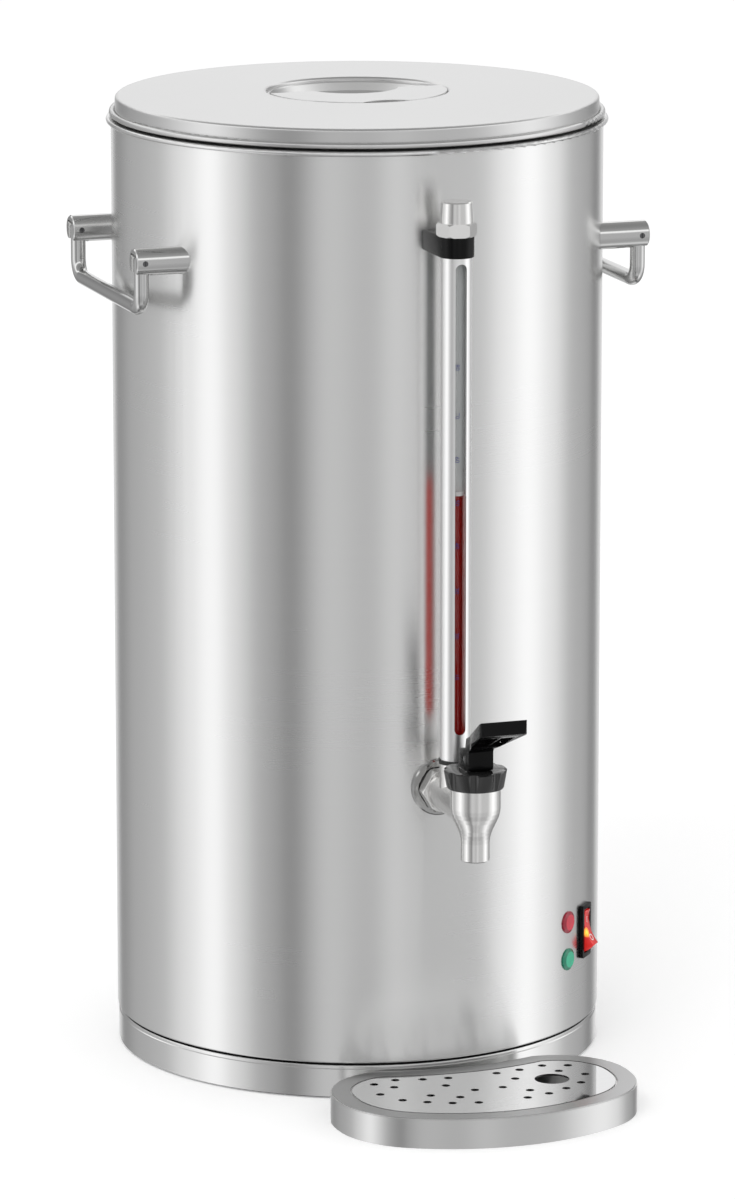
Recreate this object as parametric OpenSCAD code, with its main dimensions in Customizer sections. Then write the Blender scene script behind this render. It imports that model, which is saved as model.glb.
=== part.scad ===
// Coffee urn with a dispensing tap, a sight gauge, two bail handles and a loose drip tray.
// Millimetres, +Z up. The origin is on the urn's axis at table level, and the tap faces -Y.

/* [Body] */
// Outside radius of the outer shell
body_r = 135; // [130:1:145]
// Height of the vessel's rim above the table
rim_z = 521.5; // [505:0.5:560]
// Sheet thickness of the outer shell
shell_wall = 1; // [0.7:0.1:1.3]
// Air gap between the outer shell and the inner vessel
jacket_gap = 8; // [7:0.5:12]
// Sheet thickness of the inner vessel
vessel_wall = 1; // [0.7:0.1:1.3]
// Height of the top of the vessel's floor above the table
floor_z = 150; // [145:1:165]
// Radius of the bend between the vessel's floor and its wall
floor_bend = 9; // [6:1:14]
// Radius of the round of the rolled bead at the rim
rim_bead = 1.3; // [1:0.1:1.6]
// Inside radius of the well in the vessel's floor
well_r = 30; // [28:1:34]
// Depth of the well below the floor
well_depth = 14; // [12:1:18]

/* [Base] */
// Height of the top of the base ring above the table
ring_top = 19; // [16:0.5:26]
// How far the base ring lies inside the shell's outside
ring_inset = 0.7; // [0.3:0.1:1.5]
// Sheet thickness of the base ring
ring_wall = 1; // [0.8:0.1:1.3]
// Height of the groove between the base ring and the shell
groove_h = 1.3; // [0.8:0.1:2]
// Depth of that groove
groove_d = 4; // [1:0.5:6]
// Width of the flanges that are turned in at the seam
seam_flange = 12; // [9:1:14]
// Width of the flange that is turned in at the foot of the base ring
foot_flange = 16; // [14:1:18]
// Height of the rubber foot ring
foot_h = 1.2; // [0.8:0.1:2]
// Width of the rubber foot ring
foot_w = 10; // [7:1:12]
// Sheet thickness of the base plate
plate_wall = 1.2; // [1:0.1:1.5]
// How far the middle of the base plate is raised
plate_rise = 5; // [5:0.5:7]
// Radius of the tie rods
tie_r = 2.5; // [2:0.1:3]
// Distance of the tie rods from the shell's outside
tie_inset = 37; // [34:1:43]
// Size across the flats of the tie rod nuts
tie_nut_af = 8; // [7.5:0.5:10]
// Height of the tie rod nuts
tie_nut_h = 4; // [3:0.5:4.5]

/* [Lid] */
// How far the edge of the lid's top lies inside the shell's outside
lid_inset = 2.3; // [1.8:0.1:3.2]
// Height of the lid's edge above the rim
lid_h = 11.5; // [10:0.5:15]
// Rise of the lid's middle above its edge
lid_crown = 2.8; // [1:0.2:4]
// Sheet thickness of the lid
lid_wall = 0.9; // [0.7:0.1:1.2]
// Radius of the round of the bead at the lid's foot
lid_bead = 1.65; // [1.2:0.05:1.9]
// Height of the dark gap between the rim and the lid's bead
lid_gap = 1.1; // [1:0.1:1.8]
// Depth of the ring that centres the lid in the vessel
lid_ring_depth = 13; // [8:1:18]
// Clearance between the centring ring and the vessel
lid_ring_gap = 1.7; // [1:0.1:3]
// Thickness of the lid's soft seal
lid_seal_t = 1.4; // [1.2:0.1:2]
// Radius of the round finger recess in the lid
grip_r = 50.4; // [46:0.2:54]
// Depth of the finger recess below the grip plate's seat
cup_depth = 21; // [16:1:22]
// Depth of the seat of the grip plate below the lid's top
seat_depth = 2.2; // [1.8:0.1:3]
// Place of the straight edge of the grip plate behind the lid's middle
grip_edge = 1.5; // [0:0.5:4]
// Radius of the finger notch in that edge
notch_r = 26.5; // [22:0.5:28]
// How far the finger notch reaches in front of the edge
notch_depth = 16; // [12:0.5:18]
// Width of the small notch at the plate's front
front_notch_w = 30; // [20:1:36]
// Depth of the small notch from the plate's front
front_notch_d = 7; // [3:0.2:8]

/* [Handles] */
// Distance of the handle posts below the rim
handle_drop = 64.5; // [50:0.5:90]
// Distance of each handle post from the middle plane
post_y = 59; // [54:1:60]
// Diameter of the handle posts
post_d = 15; // [14:0.5:18]
// Distance of the post ends from the urn's side
post_reach = 12; // [11:0.5:16]
// Length of the plain post outside its contoured saddle
post_len = 21.6; // [20:0.2:24]
// Diameter of the bail rod
rod_d = 8.2; // [7:0.2:9]
// Distance of the bail pivot from the post's end
pivot_in = 4.6; // [4.6:0.1:6]
// Distance of the bail's bar below its pivots
bail_drop = 26; // [22:1:40]
// Radius of the bail's bends at the middle of the rod
bail_bend = 9.5; // [7:0.5:14]
// Radius of the bail's pivot screws
pivot_r = 1.5; // [1.2:0.1:1.8]
// Radius of the screws that hold the posts
post_screw_r = 2.5; // [2:0.1:3]

/* [Gauge] */
// Distance of the gauge tube's axis from the urn's side
gauge_out = 26; // [25:0.5:29]
// Distance of the bracket's top below the rim
bracket_drop = 42.1; // [36:0.1:60]
// Height of the gauge bracket
bracket_h = 11.1; // [9:0.1:14]
// Wall of the bracket round the tube
bracket_wall = 1.3; // [1:0.1:2.5]
// Outside radius of the slotted shield tube
shield_r = 8.2; // [7.8:0.1:8.6]
// Wall of the slotted shield tube
shield_wall = 1; // [0.8:0.1:1.2]
// Width of the slot in the shield tube
slot_w = 6.3; // [5:0.1:7.5]
// Distance of the slot's top below the bracket
slot_top_gap = 3; // [2:0.5:10]
// Distance of the slot's foot above the shield's foot
slot_foot_gap = 14.6; // [8:0.1:20]
// Outside radius of the gauge glass
glass_r = 5; // [4.6:0.1:5.3]
// Wall of the gauge glass
glass_wall = 1.2; // [0.9:0.1:1.4]
// Height of the liquid's surface above the tap's axis
liquid_rise = 166; // [20:1:260]
// Size across the flats of the gauge head
head_af = 19; // [18:0.5:21]
// Height of the gauge head's hexagon
head_h = 7.3; // [6:0.1:9]
// Turn of the gauge head's hexagon
head_turn = 20; // [0:1:60]
// Height of the gauge cap
cap_h = 11.2; // [9:0.1:14]
// Radius of the gauge cap at its foot
cap_r = 9; // [8.6:0.1:9.3]
// Radius of the gauge cap at its top
cap_top_r = 8.4; // [7.5:0.1:8.6]

/* [Tap] */
// Height of the tap's axis above the vessel's floor
tap_rise = 24; // [20:1:30]
// Distance of the spout's axis from the urn's side
spout_out = 58; // [56:0.5:64]
// Outside radius of the tap's threaded shank
shank_r = 8; // [7.5:0.1:8.4]
// Radius of the tap's arm
arm_r = 10.3; // [10:0.1:11]
// Radius of the tap's collar against the shell
collar_r = 15.5; // [14.5:0.1:17]
// Thickness of the tap's collar
collar_t = 2; // [1.5:0.1:3]
// Thickness of the rubber ring before the collar
tap_seal_t = 1.5; // [1:0.1:2]
// Radius of the rubber ring before the collar
tap_seal_r = 11.3; // [10.8:0.1:12]
// Size across the flats of the tap nut
tap_nut_af = 22.4; // [21:0.2:24]
// Thickness of the tap nut
tap_nut_t = 7.5; // [6:0.5:8]
// Height of the gauge socket's top above the tap's axis
socket_rise = 19.5; // [17:0.1:22]
// Radius of the valve body at its top
valve_r = 13.6; // [13:0.1:14.2]
// Radius of the spout
spout_r = 7.8; // [7.2:0.1:8.4]
// Distance of the spout's mouth below the tap's axis
spout_drop = 26.7; // [23:0.1:32]
// Height of the valve body's top above the tap's axis
valve_rise = 13.6; // [13:0.1:16]
// Height of the bonnet
bonnet_h = 9.9; // [9:0.1:12]
// Radius of the bonnet at its top
bonnet_r = 17; // [16.4:0.1:18]
// Number of flutes in the bonnet
flutes = 8; // [6:1:12]
// Radius of the valve stem
stem_r = 2.5; // [2.2:0.1:2.8]
// Height of the lever's pin above the bonnet
pin_rise = 6; // [5.5:0.1:7]
// Radius of the lever's pin
pin_r = 1.25; // [1:0.05:1.4]
// Width of the lever's block
block_w = 14; // [13:0.5:16]
// Length of the lever from the stem to its front edge
lever_len = 45; // [38:1:55]
// Width of the lever's front edge
lever_w = 26; // [20:1:30]
// Thickness of the lever's paddle
paddle_t = 7.2; // [5:0.1:8.5]

/* [Controls] */
// Turn of the switch round the body from the tap
switch_turn = 49.6; // [47.5:0.1:70]
// Height of the middle of the switch above the table
switch_z = 72.4; // [60:0.1:90]
// Width of the switch bezel
switch_w = 13.4; // [13:0.1:18]
// Height of the switch bezel
switch_h = 30; // [29:0.5:36]
// Tilt of the rocker each way
rocker_tilt = 15; // [10:0.5:16]
// Turn of the pilot lights round the body from the tap
light_turn = 40.5; // [28:0.1:41]
// Height of the middle between the two pilot lights above the table
light_z = 71.4; // [60:0.1:90]
// Height between the two pilot lights
light_pitch = 21.2; // [17:0.1:26]
// Radius of the pilot lights
light_r = 6.2; // [5.5:0.1:7]
// Height of the cord gland above the table
gland_z = 45; // [40:1:60]
// Radius of the hole for the cord
gland_bore = 3.7; // [3:0.1:4.5]

/* [Brewing parts] */
// Radius of the filter basket
basket_r = 76; // [60:1:90]
// Height of the filter basket
basket_h = 56; // [45:1:60]
// Sheet thickness of the basket
basket_wall = 0.8; // [0.6:0.1:1.2]
// Outside radius of the riser tube
riser_r = 5; // [4.5:0.1:5.5]
// Distance of the riser's top below the rim
riser_drop = 27; // [26:1:34]
// Radius of the heater block round the well
heater_r = 52; // [48:1:56]
// Radius of the middle of the keep-warm ring
warm_r = 74; // [70:1:80]

/* [Drip tray] */
// Half of the tray's width
tray_half = 84.4; // [80:0.2:88]
// Height of the tray
tray_h = 16.5; // [14:0.5:22]
// Width of the tray's rim
tray_rim = 10.6; // [8:0.2:14]
// Sheet thickness of the tray
tray_wall = 1; // [0.8:0.1:1.3]
// How far the tray stands to the right of the tap
tray_side = 12; // [0:1:14]
// Clearance between the urn's base and the tray's hollow back
tray_gap = 2.7; // [2.5:0.1:5]
// Distance from the urn's side to the tray's front
tray_reach = 100; // [96:1:110]
// Radius of the small holes in the grid
grid_hole_r = 2.3; // [1.8:0.1:2.8]
// Radius of the large hole in the grid
grid_big_r = 9.5; // [7:0.5:10]

/* [Hidden] */
$fn = 96;
// Facets of the large rounds that small pieces fit
fine = 720;
// How far a cutting shape passes a face
over = 1;
// Radial clearance of fixed parts that pass through a hole
fixed_gap = 0.05;
// Radial clearance of pins and stems that turn or slide
run_gap = 0.06;
// Clearance between pieces that move past each other
move_gap = 0.3;
moulded = [0.08, 0.08, 0.08];
rubber = [0.06, 0.06, 0.06];

vessel_r = body_r - shell_wall - jacket_gap;
vessel_in = vessel_r - vessel_wall;
well_z = floor_z - well_depth;
floor_under = floor_z - vessel_wall;
ring_r = body_r - ring_inset;
tie_place = body_r - tie_inset;
shell_foot = ring_top + groove_h;
shell_top = rim_z - vessel_wall;
bead_c = body_r + rim_bead + 0.1;
seam_in = body_r - shell_wall - seam_flange;
plate_mid = foot_h + plate_rise;

lid_r = body_r - lid_inset;
lid_edge_z = rim_z + lid_h;
lid_bead_z = rim_z + lid_gap + lid_bead;
lid_fold = 1.7;
skirt_r = lid_r + 0.2;
skirt_in = skirt_r - lid_wall;
cup_wall = 1;
lid_mid_z = lid_z(grip_r);
seat_z = lid_mid_z - seat_depth;
fold_in = grip_r - lid_wall;
grip_plate_r = fold_in - 0.15;
grip_plate_t = 0.9;
cup_r = grip_r - 1.8;
centring_r = vessel_in - lid_ring_gap;

handle_z = rim_z - handle_drop;
post_end = body_r + post_reach;
post_foot = post_end - post_len;
pivot_x = post_end - pivot_in;
post_slot = rod_d + 2 * move_gap;

gauge_y = -(body_r + gauge_out);
bracket_top = rim_z - bracket_drop;
bracket_z = bracket_top - bracket_h;
bracket_r = shield_r + bracket_wall;
tap_z = floor_z + tap_rise;
socket_z = tap_z + socket_rise;
seal_t = 2.2;
shield_z = socket_z + seal_t;
slot_top = bracket_z - slot_top_gap;
slot_foot = shield_z + slot_foot_gap;
glass_foot = tap_z + 11;
head_top = bracket_top + head_h;
glass_top = head_top - 3;

spout_y = -(body_r + spout_out);
collar_end = body_r + collar_t;
seal_end = collar_end + tap_seal_t;
nut_end = seal_end + tap_nut_t;
valve_top = tap_z + valve_rise;
neck_r = 11;
neck_top = valve_top + 5.9;
bonnet_top = valve_top + bonnet_h;
chamber_r = 8;
seat_face = tap_z - 6;
spout_bore = spout_r - 2.6;
pin_z = bonnet_top + pin_rise;
block_z = bonnet_top + move_gap;

pivot_depth = 2.5;
rocker_half = 9.6;
rocker_rise = 7.5;
rocker_dip = 5.1;
rocker_end_r = norm([rocker_half, rocker_rise]);
window_h = 2 * (rocker_end_r + move_gap);
switch_body_w = switch_w - 3;
switch_body_h = window_h + 2.4;
light_hole_r = 4.9;
red_z = light_z + light_pitch / 2;
green_z = light_z - light_pitch / 2;
gland_r = 8;
gland_barrel = 12;
gland_nose = 11;

block_in = well_r + vessel_wall + fixed_gap;
heater_foot = well_z - vessel_wall;
heater_mid = (block_in + heater_r) / 2;
heater_pin = 14;
pin_turn = 12;
terminal_pin_r = 2;
disc_h = 9;
stat_turn = 100;
stat_r = 9;
cutout_turn = 220;
cutout_r = 8;
blade_w = 6;
blade_t = 0.8;
blade_len = 8;
switch_depth = 18;
wire_r = 1.5;
lead_gap = 0.2;
terminal_y = 60;
terminal_w = 34;
terminal_d = 20;
terminal_h = 15;
terminal_pitch = 10.6;
terminal_hole = 6.5;
terminal_foot = plate_mid + plate_wall;

basket_drop = 41;
basket_top = rim_z - basket_drop;
basket_z = basket_top - basket_h;
riser_top = rim_z - riser_drop;
riser_bore = riser_r - 1;
stop_t = 3;
collar_z = basket_z - stop_t;

tray_front = body_r + tray_reach;
tray_dy = -2;
tray_corner = 50;
tray_back = 40;
tray_arc = 118;

// Points on an arc about c, from angle a0 to a1
function arc(c, r, a0, a1, n = 8) =
    [for (i = [0:n]) let (a = a0 + (a1 - a0) * i / n) [c[0] + r * cos(a), c[1] + r * sin(a)]];

// Height of the lid's crowned top at radius r
function lid_z(r) = lid_edge_z + lid_crown * (1 - pow(r / lid_r, 2));

// Ring of rectangular section
module ring(r_out, r_in, h) {
    difference() {
        cylinder(r = r_out, h = h);
        translate([0, 0, -over])
            cylinder(r = r_in, h = h + 2 * over);
    }
}

// Hexagon prism with a given size across its flats, its corners cut by a cone
module hex_nut(af, h, bore) {
    corner = af / sqrt(3);
    cut = (corner - af / 2) * 0.7;
    difference() {
        intersection() {
            cylinder(r = corner, h = h, $fn = 6);
            rotate_extrude()
                polygon([[0, 0], [corner - cut, 0], [corner, cut], [corner, h - cut], [corner - cut, h], [0, h]]);
        }
        translate([0, 0, -over])
            cylinder(r = bore, h = h + 2 * over);
    }
}

// Places its children on the wall: X along the wall, Y up, Z outwards
module at_wall(turn, z, out = 0) {
    rotate([0, 0, turn])
        translate([0, -(body_r + out), z])
            rotate([90, 0, 0])
                children();
}

// Rectangle with round corners
module round_rect(w, h, r) {
    square([w - 2 * r, h], center = true);
    square([w, h - 2 * r], center = true);
    for (x = [-1, 1])
        for (y = [-1, 1])
            translate([x * (w / 2 - r), y * (h / 2 - r)])
                circle(r = r);
}

// Places its children at the two handle posts of the right side
module at_posts() {
    for (y = [-post_y, post_y])
        translate([0, y, handle_z])
            children();
}

// Round tube swept along a list of points, with closed ends
module swept_tube(points, r, sides = 8) {
    count = len(points);
    ahead = [for (i = [0:count - 1])
        points[min(i + 1, count - 1)] - points[max(i - 1, 0)]];
    rings = [for (i = [0:count - 1])
        let (
            t = ahead[i] / norm(ahead[i]),
            ref = abs(t[2]) > 0.9 ? [1, 0, 0] : [0, 0, 1],
            side = cross(t, ref) / norm(cross(t, ref)),
            rise = cross(side, t)
        )
        for (k = [0:sides - 1])
            points[i] + r * (cos(360 * k / sides) * side + sin(360 * k / sides) * rise)];
    walls = [for (i = [0:count - 2])
        for (k = [0:sides - 1])
            let (a = i * sides + k, b = i * sides + (k + 1) % sides)
            [a, b, b + sides, a + sides]];
    polyhedron(rings, concat(walls,
        [[for (k = [sides - 1:-1:0]) k]],
        [[for (k = [0:sides - 1]) (count - 1) * sides + k]]), convexity = 6);
}

// ---- Body ----

// Holes through the outer shell
module shell_holes() {
    at_wall(0, tap_z, -body_r / 2)
        cylinder(r = shank_r + fixed_gap, h = body_r);
    at_wall(switch_turn, switch_z, -jacket_gap)
        linear_extrude(2 * jacket_gap)
            square([switch_body_w + 0.2, switch_body_h + 0.2], center = true);
    for (z = [red_z, green_z])
        at_wall(light_turn, z, -jacket_gap)
            cylinder(r = light_hole_r + fixed_gap, h = 2 * jacket_gap);
    at_wall(180, gland_z, -jacket_gap)
        cylinder(r = gland_r + fixed_gap, h = 2 * jacket_gap);
    for (x = [-1, 1])
        at_wall(0, bracket_z + bracket_h / 2, -2 * jacket_gap)
            translate([x * bracket_screw_x, 0, 0])
                cylinder(r = bracket_screw_r + fixed_gap, h = 3 * jacket_gap);
    for (m = [0, 1])
        mirror([m, 0, 0])
            at_posts()
                rotate([0, 90, 0])
                    cylinder(r = post_screw_r + fixed_gap, h = post_foot);
}

// Deep-drawn outer cylinder with a flange turned in at its foot
module outer_shell() {
    color("silver")
        difference() {
            rotate_extrude()
                polygon(concat(
                    [[seam_in, shell_foot]],
                    arc([body_r - 1, shell_foot + 1], 1, -90, 0, 4),
                    [[body_r, shell_top], [body_r - shell_wall, shell_top],
                     [body_r - shell_wall, shell_foot + shell_wall], [seam_in, shell_foot + shell_wall]]));
            shell_holes();
        }
}

// Base ring with its seam flange, its rounded shoulder and its foot flange
module base_ring() {
    shoulder = 2.3;
    step = 0.4;
    round_r = 0.8;
    seam_r = ring_r - groove_d;
    inside = ring_r - ring_wall;
    flange_z = ring_top - ring_wall;
    foot_z = foot_h + plate_wall;
    color("silver")
        rotate_extrude()
            polygon(concat(
                [[ring_r, foot_h], [ring_r, ring_top - shoulder], [ring_r - step, ring_top - shoulder + step]],
                arc([ring_r - step - round_r, ring_top - round_r], round_r, 0, 90, 4),
                [[seam_r, ring_top], [seam_r, shell_foot], [seam_in, shell_foot], [seam_in, flange_z],
                 [inside - step, flange_z], [inside - step, ring_top - shoulder],
                 [inside, ring_top - shoulder - step], [inside, foot_z + ring_wall],
                 [ring_r - foot_flange, foot_z + ring_wall], [ring_r - foot_flange, foot_z],
                 [inside, foot_z], [inside, foot_h]]));
}

// Bottom cover under the ring's foot flange, dished upwards inside its rim
module base_plate() {
    slope = 3;
    step_r = ring_r - foot_flange - slope;
    skew = plate_wall / 2;
    plate_r = ring_r - ring_wall - move_gap;
    color("gray")
        difference() {
            rotate_extrude()
                polygon([[0, plate_mid], [step_r - slope, plate_mid], [step_r, foot_h], [plate_r, foot_h],
                    [plate_r, foot_h + plate_wall], [step_r + skew, foot_h + plate_wall],
                    [step_r - slope + skew, plate_mid + plate_wall], [0, plate_mid + plate_wall]]);
            at_ties()
                translate([0, 0, plate_mid - over])
                    cylinder(r = tie_r + fixed_gap, h = plate_wall + 2 * over);
        }
}

// Rubber ring that the urn stands on
module foot_ring() {
    color("dimgray")
        ring(ring_r - 3, ring_r - 3 - foot_w, foot_h);
}

module at_ties() {
    for (a = [30, 150, 270])
        rotate([0, 0, a])
            translate([tie_place, 0, 0])
                children();
}

// Threaded rods welded under the vessel's floor
module tie_rods() {
    rod_foot = plate_mid - tie_nut_h - 0.5;
    color("gray")
        at_ties()
            translate([0, 0, rod_foot])
                cylinder(r = tie_r, h = floor_under - rod_foot);
}

// Nuts that draw the base plate up and clamp the body
module tie_rod_nuts() {
    color("gray")
        at_ties()
            translate([0, 0, plate_mid - tie_nut_h])
                hex_nut(tie_nut_af, tie_nut_h, tie_r + fixed_gap);
}

// Inner vessel with a heating well and a rim rolled over the shell
module inner_vessel() {
    lip = 2.2;
    color("silver")
        difference() {
            union() {
                rotate_extrude()
                    polygon(concat(
                        [[0, well_z], [well_r, well_z], [well_r, floor_z]],
                        arc([vessel_in - floor_bend, floor_z + floor_bend], floor_bend, -90, 0, 6),
                        arc([vessel_in + lip, rim_z - lip], lip, 180, 90, 5),
                        [[bead_c, rim_z], [bead_c, shell_top]],
                        arc([vessel_in + lip, rim_z - lip], lip - vessel_wall, 90, 180, 5),
                        arc([vessel_in - floor_bend, floor_z + floor_bend], floor_bend + vessel_wall, 0, -90, 6),
                        [[well_r + vessel_wall, floor_under], [well_r + vessel_wall, well_z - vessel_wall],
                         [0, well_z - vessel_wall]]));
                rotate_extrude()
                    translate([bead_c, rim_z - rim_bead])
                        circle(r = rim_bead, $fn = 24);
            }
            at_wall(0, tap_z, -2 * jacket_gap)
                cylinder(r = shank_r + fixed_gap, h = 2 * jacket_gap);
        }
}

// ---- Lid ----

// Crowned lid with a turned-down skirt, a rolled bead and a folded finger opening
module lid_shell() {
    fold_r = 2.1;
    steps = 10;
    crown_in = fold_in + fold_r;
    crown_out = lid_r - lid_fold;
    crown = [for (i = [0:steps]) let (r = crown_in + (crown_out - crown_in) * i / steps) [r, lid_z(r)]];
    crown_under = [for (i = [steps:-1:0]) crown[i] - [0, lid_wall]];
    skirt_foot = lid_bead_z - lid_bead / 2;
    color("silver")
        union() {
            rotate_extrude()
                polygon(concat(
                    [[fold_in, seat_z]],
                    arc([crown_in, lid_mid_z - fold_r], fold_r, 180, 90, 5),
                    crown,
                    arc([crown_out, lid_edge_z - lid_fold], lid_fold, 80, 0, 5),
                    [[skirt_r, lid_bead_z], [skirt_r, skirt_foot], [skirt_in, skirt_foot]],
                    arc([crown_out, lid_edge_z - lid_fold], lid_fold - lid_wall, 0, 80, 4),
                    crown_under,
                    arc([crown_in, lid_mid_z - fold_r], fold_r - lid_wall, 90, 180, 4),
                    [[grip_r, seat_z]]));
            rotate_extrude()
                translate([lid_r + lid_bead, lid_bead_z])
                    circle(r = lid_bead, $fn = 24);
        }
}

// Angle ring that centres the lid in the vessel and carries the seal
module lid_ring() {
    wall = 1;
    flange_z = rim_z + move_gap + lid_seal_t;
    flange_r = skirt_in - fixed_gap;
    color("silver")
        rotate_extrude()
            polygon([[centring_r - wall, rim_z - lid_ring_depth], [centring_r, rim_z - lid_ring_depth],
                [centring_r, flange_z], [flange_r, flange_z], [flange_r, flange_z + wall],
                [centring_r - wall, flange_z + wall]]);
}

// Soft ring between the lid and the vessel's rim
module lid_seal() {
    seal_out = skirt_in - 1;
    color("dimgray")
        translate([0, 0, rim_z + move_gap])
            ring(seal_out, seal_out - 5, lid_seal_t);
}

// Pressed dish under the finger opening
module lid_cup() {
    foot_z = seat_z - cup_depth;
    lean = 22;
    bend = (cup_depth - cup_wall) / (1 - sin(lean));
    mid = [cup_r - bend * cos(lean), foot_z + bend];
    flange_r = grip_r + 0.4;
    color("silver")
        rotate_extrude()
            polygon(concat(
                [[0, foot_z]],
                arc(mid, bend, -90, -lean, 8),
                [[flange_r, seat_z - cup_wall], [flange_r, seat_z], [cup_r - cup_wall / 2, seat_z]],
                arc(mid, bend - cup_wall, -lean, -90, 8),
                [[0, foot_z + cup_wall]]));
}

// Shape of the fingers' openings in the grip plate
module grip_openings() {
    translate([-grip_r, grip_edge, 0])
        cube([2 * grip_r, 2 * grip_r, lid_h]);
    translate([0, grip_edge - notch_depth + notch_r, 0])
        cylinder(r = notch_r, h = lid_h);
    notch_arc = (pow(front_notch_w / 2, 2) + pow(front_notch_d, 2)) / (2 * front_notch_d);
    translate([0, front_notch_d - grip_plate_r - notch_arc, 0])
        cylinder(r = notch_arc, h = lid_h);
}

// Round plate, flush with the lid, whose bar is the lid's grip
module grip_plate() {
    rim = 1.2;
    color("silver")
        difference() {
            union() {
                translate([0, 0, lid_mid_z - grip_plate_t])
                    cylinder(r = grip_plate_r, h = grip_plate_t);
                translate([0, 0, seat_z])
                    ring(grip_plate_r, grip_plate_r - rim, seat_depth);
            }
            translate([0, 0, seat_z - over])
                grip_openings();
        }
}

// ---- Handles ----

// One handle post, slotted from below for the bail
module post() {
    edge = 0.6;
    slot_top_z = rod_d / 2 + move_gap;
    slot_in = pivot_in + rod_d / 2 + 2.3 * move_gap;
    difference() {
        translate([post_foot, 0, 0])
            rotate([0, 90, 0])
                rotate_extrude()
                    polygon([[0, 0], [post_d / 2, 0], [post_d / 2, post_len - edge],
                        [post_d / 2 - edge, post_len], [0, post_len]]);
        translate([post_end - slot_in, -post_slot / 2, -post_d])
            cube([slot_in + over, post_slot, post_d + slot_top_z]);
        translate([pivot_x, post_d, 0])
            rotate([90, 0, 0])
                cylinder(r = pivot_r + fixed_gap, h = 2 * post_d);
        translate([post_foot - over, 0, 0])
            rotate([0, 90, 0])
                cylinder(r = post_screw_r + fixed_gap, h = screw_grip + over + 0.5);
    }
}

module right_posts() {
    color("silver")
        at_posts()
            post();
}

module left_posts() {
    color("silver")
        mirror([1, 0, 0])
            at_posts()
                post();
}

// Contoured distance pieces between the posts and the shell
module post_saddles() {
    color("silver")
        difference() {
            for (m = [0, 1])
                mirror([m, 0, 0])
                    at_posts()
                        translate([body_r / 2, 0, 0])
                            rotate([0, 90, 0])
                                ring(post_d / 2, post_screw_r + fixed_gap, post_foot - body_r / 2);
            translate([0, 0, handle_z - post_d])
                cylinder(r = body_r, h = 2 * post_d, $fn = fine);
        }
}

screw_grip = 9;
screw_head_r = 4.2;
screw_head_t = 2.2;
// Inside of the shell beside a post screw's head
screw_seat = sqrt(pow(body_r - shell_wall, 2) - pow(post_y + screw_head_r, 2));

// Screws from inside the jacket, each with a head shaped to the curve of the shell
module post_screws() {
    head_x = screw_seat - screw_head_t;
    driver_w = 1;
    driver_d = 0.8;
    color("gray")
        for (m = [0, 1])
            mirror([m, 0, 0])
                difference() {
                    union() {
                        at_posts()
                            rotate([0, 90, 0])
                                translate([0, 0, head_x])
                                    cylinder(r = post_screw_r, h = post_foot + screw_grip - head_x);
                        intersection() {
                            at_posts()
                                rotate([0, 90, 0])
                                    translate([0, 0, head_x])
                                        cylinder(r = screw_head_r, h = body_r);
                            cylinder(r = body_r - shell_wall - 0.02, h = rim_z, $fn = fine);
                        }
                    }
                    at_posts()
                        translate([head_x - over, -driver_w / 2, -screw_head_r])
                            cube([over + driver_d, driver_w, 2 * screw_head_r]);
                }
}

// Slotted screws that the bails swing on
module pivot_screws() {
    color("gray")
        for (m = [0, 1])
            mirror([m, 0, 0])
                at_posts()
                    translate([pivot_x, 0, 0])
                        rotate([90, 0, 0])
                            difference() {
                                cylinder(r = pivot_r, h = post_d - 0.5, center = true);
                                for (s = [-1, 1])
                                    translate([0, 0, s * post_d / 2])
                                        cube([0.5, 2 * pivot_r + over, 1.6], center = true);
                            }
}

// Round rod bent to a U, hanging from its two pivots
module bail() {
    r = rod_d / 2;
    bar = post_y - bail_bend;
    difference() {
        union() {
            for (s = [-1, 1]) {
                translate([0, s * post_y, 0])
                    sphere(r = r);
                translate([0, s * post_y, bail_bend - bail_drop])
                    cylinder(r = r, h = bail_drop - bail_bend);
                translate([0, s * bar, bail_bend - bail_drop])
                    rotate([0, 90, 0])
                        rotate([0, 0, s > 0 ? 0 : -90])
                            rotate_extrude(angle = 90)
                                translate([bail_bend, 0])
                                    circle(r = r, $fn = 32);
            }
            translate([0, bar, -bail_drop])
                rotate([90, 0, 0])
                    cylinder(r = r, h = 2 * bar);
        }
        translate([0, post_y + post_d, 0])
            rotate([90, 0, 0])
                cylinder(r = pivot_r + run_gap, h = 2 * (post_y + post_d));
    }
}

module right_bail() {
    color("silver")
        translate([pivot_x, 0, handle_z])
            bail();
}

module left_bail() {
    color("silver")
        translate([-pivot_x, 0, handle_z])
            bail();
}

// ---- Sight gauge ----

bracket_screw_x = 5.4;
bracket_screw_r = 1.5;
bracket_screw_in = 7;

module at_gauge(z) {
    translate([0, gauge_y, z])
        children();
}

// Moulded clamp that stands the gauge off the shell
module gauge_bracket() {
    mid_z = bracket_h / 2;
    color(moulded)
        difference() {
            union() {
                at_gauge(bracket_z)
                    cylinder(r = bracket_r, h = bracket_h);
                translate([-bracket_r, gauge_y, bracket_z])
                    cube([2 * bracket_r, gauge_out + 1, bracket_h]);
            }
            cylinder(r = body_r, h = rim_z, $fn = fine);
            at_gauge(bracket_z - over)
                cylinder(r = shield_r + fixed_gap, h = bracket_h + 2 * over);
            for (x = [-1, 1])
                at_wall(0, bracket_z + mid_z, -2)
                    translate([x * bracket_screw_x, 0, 0])
                        cylinder(r = bracket_screw_r + fixed_gap, h = bracket_screw_in + 2.5);
        }
}

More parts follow.
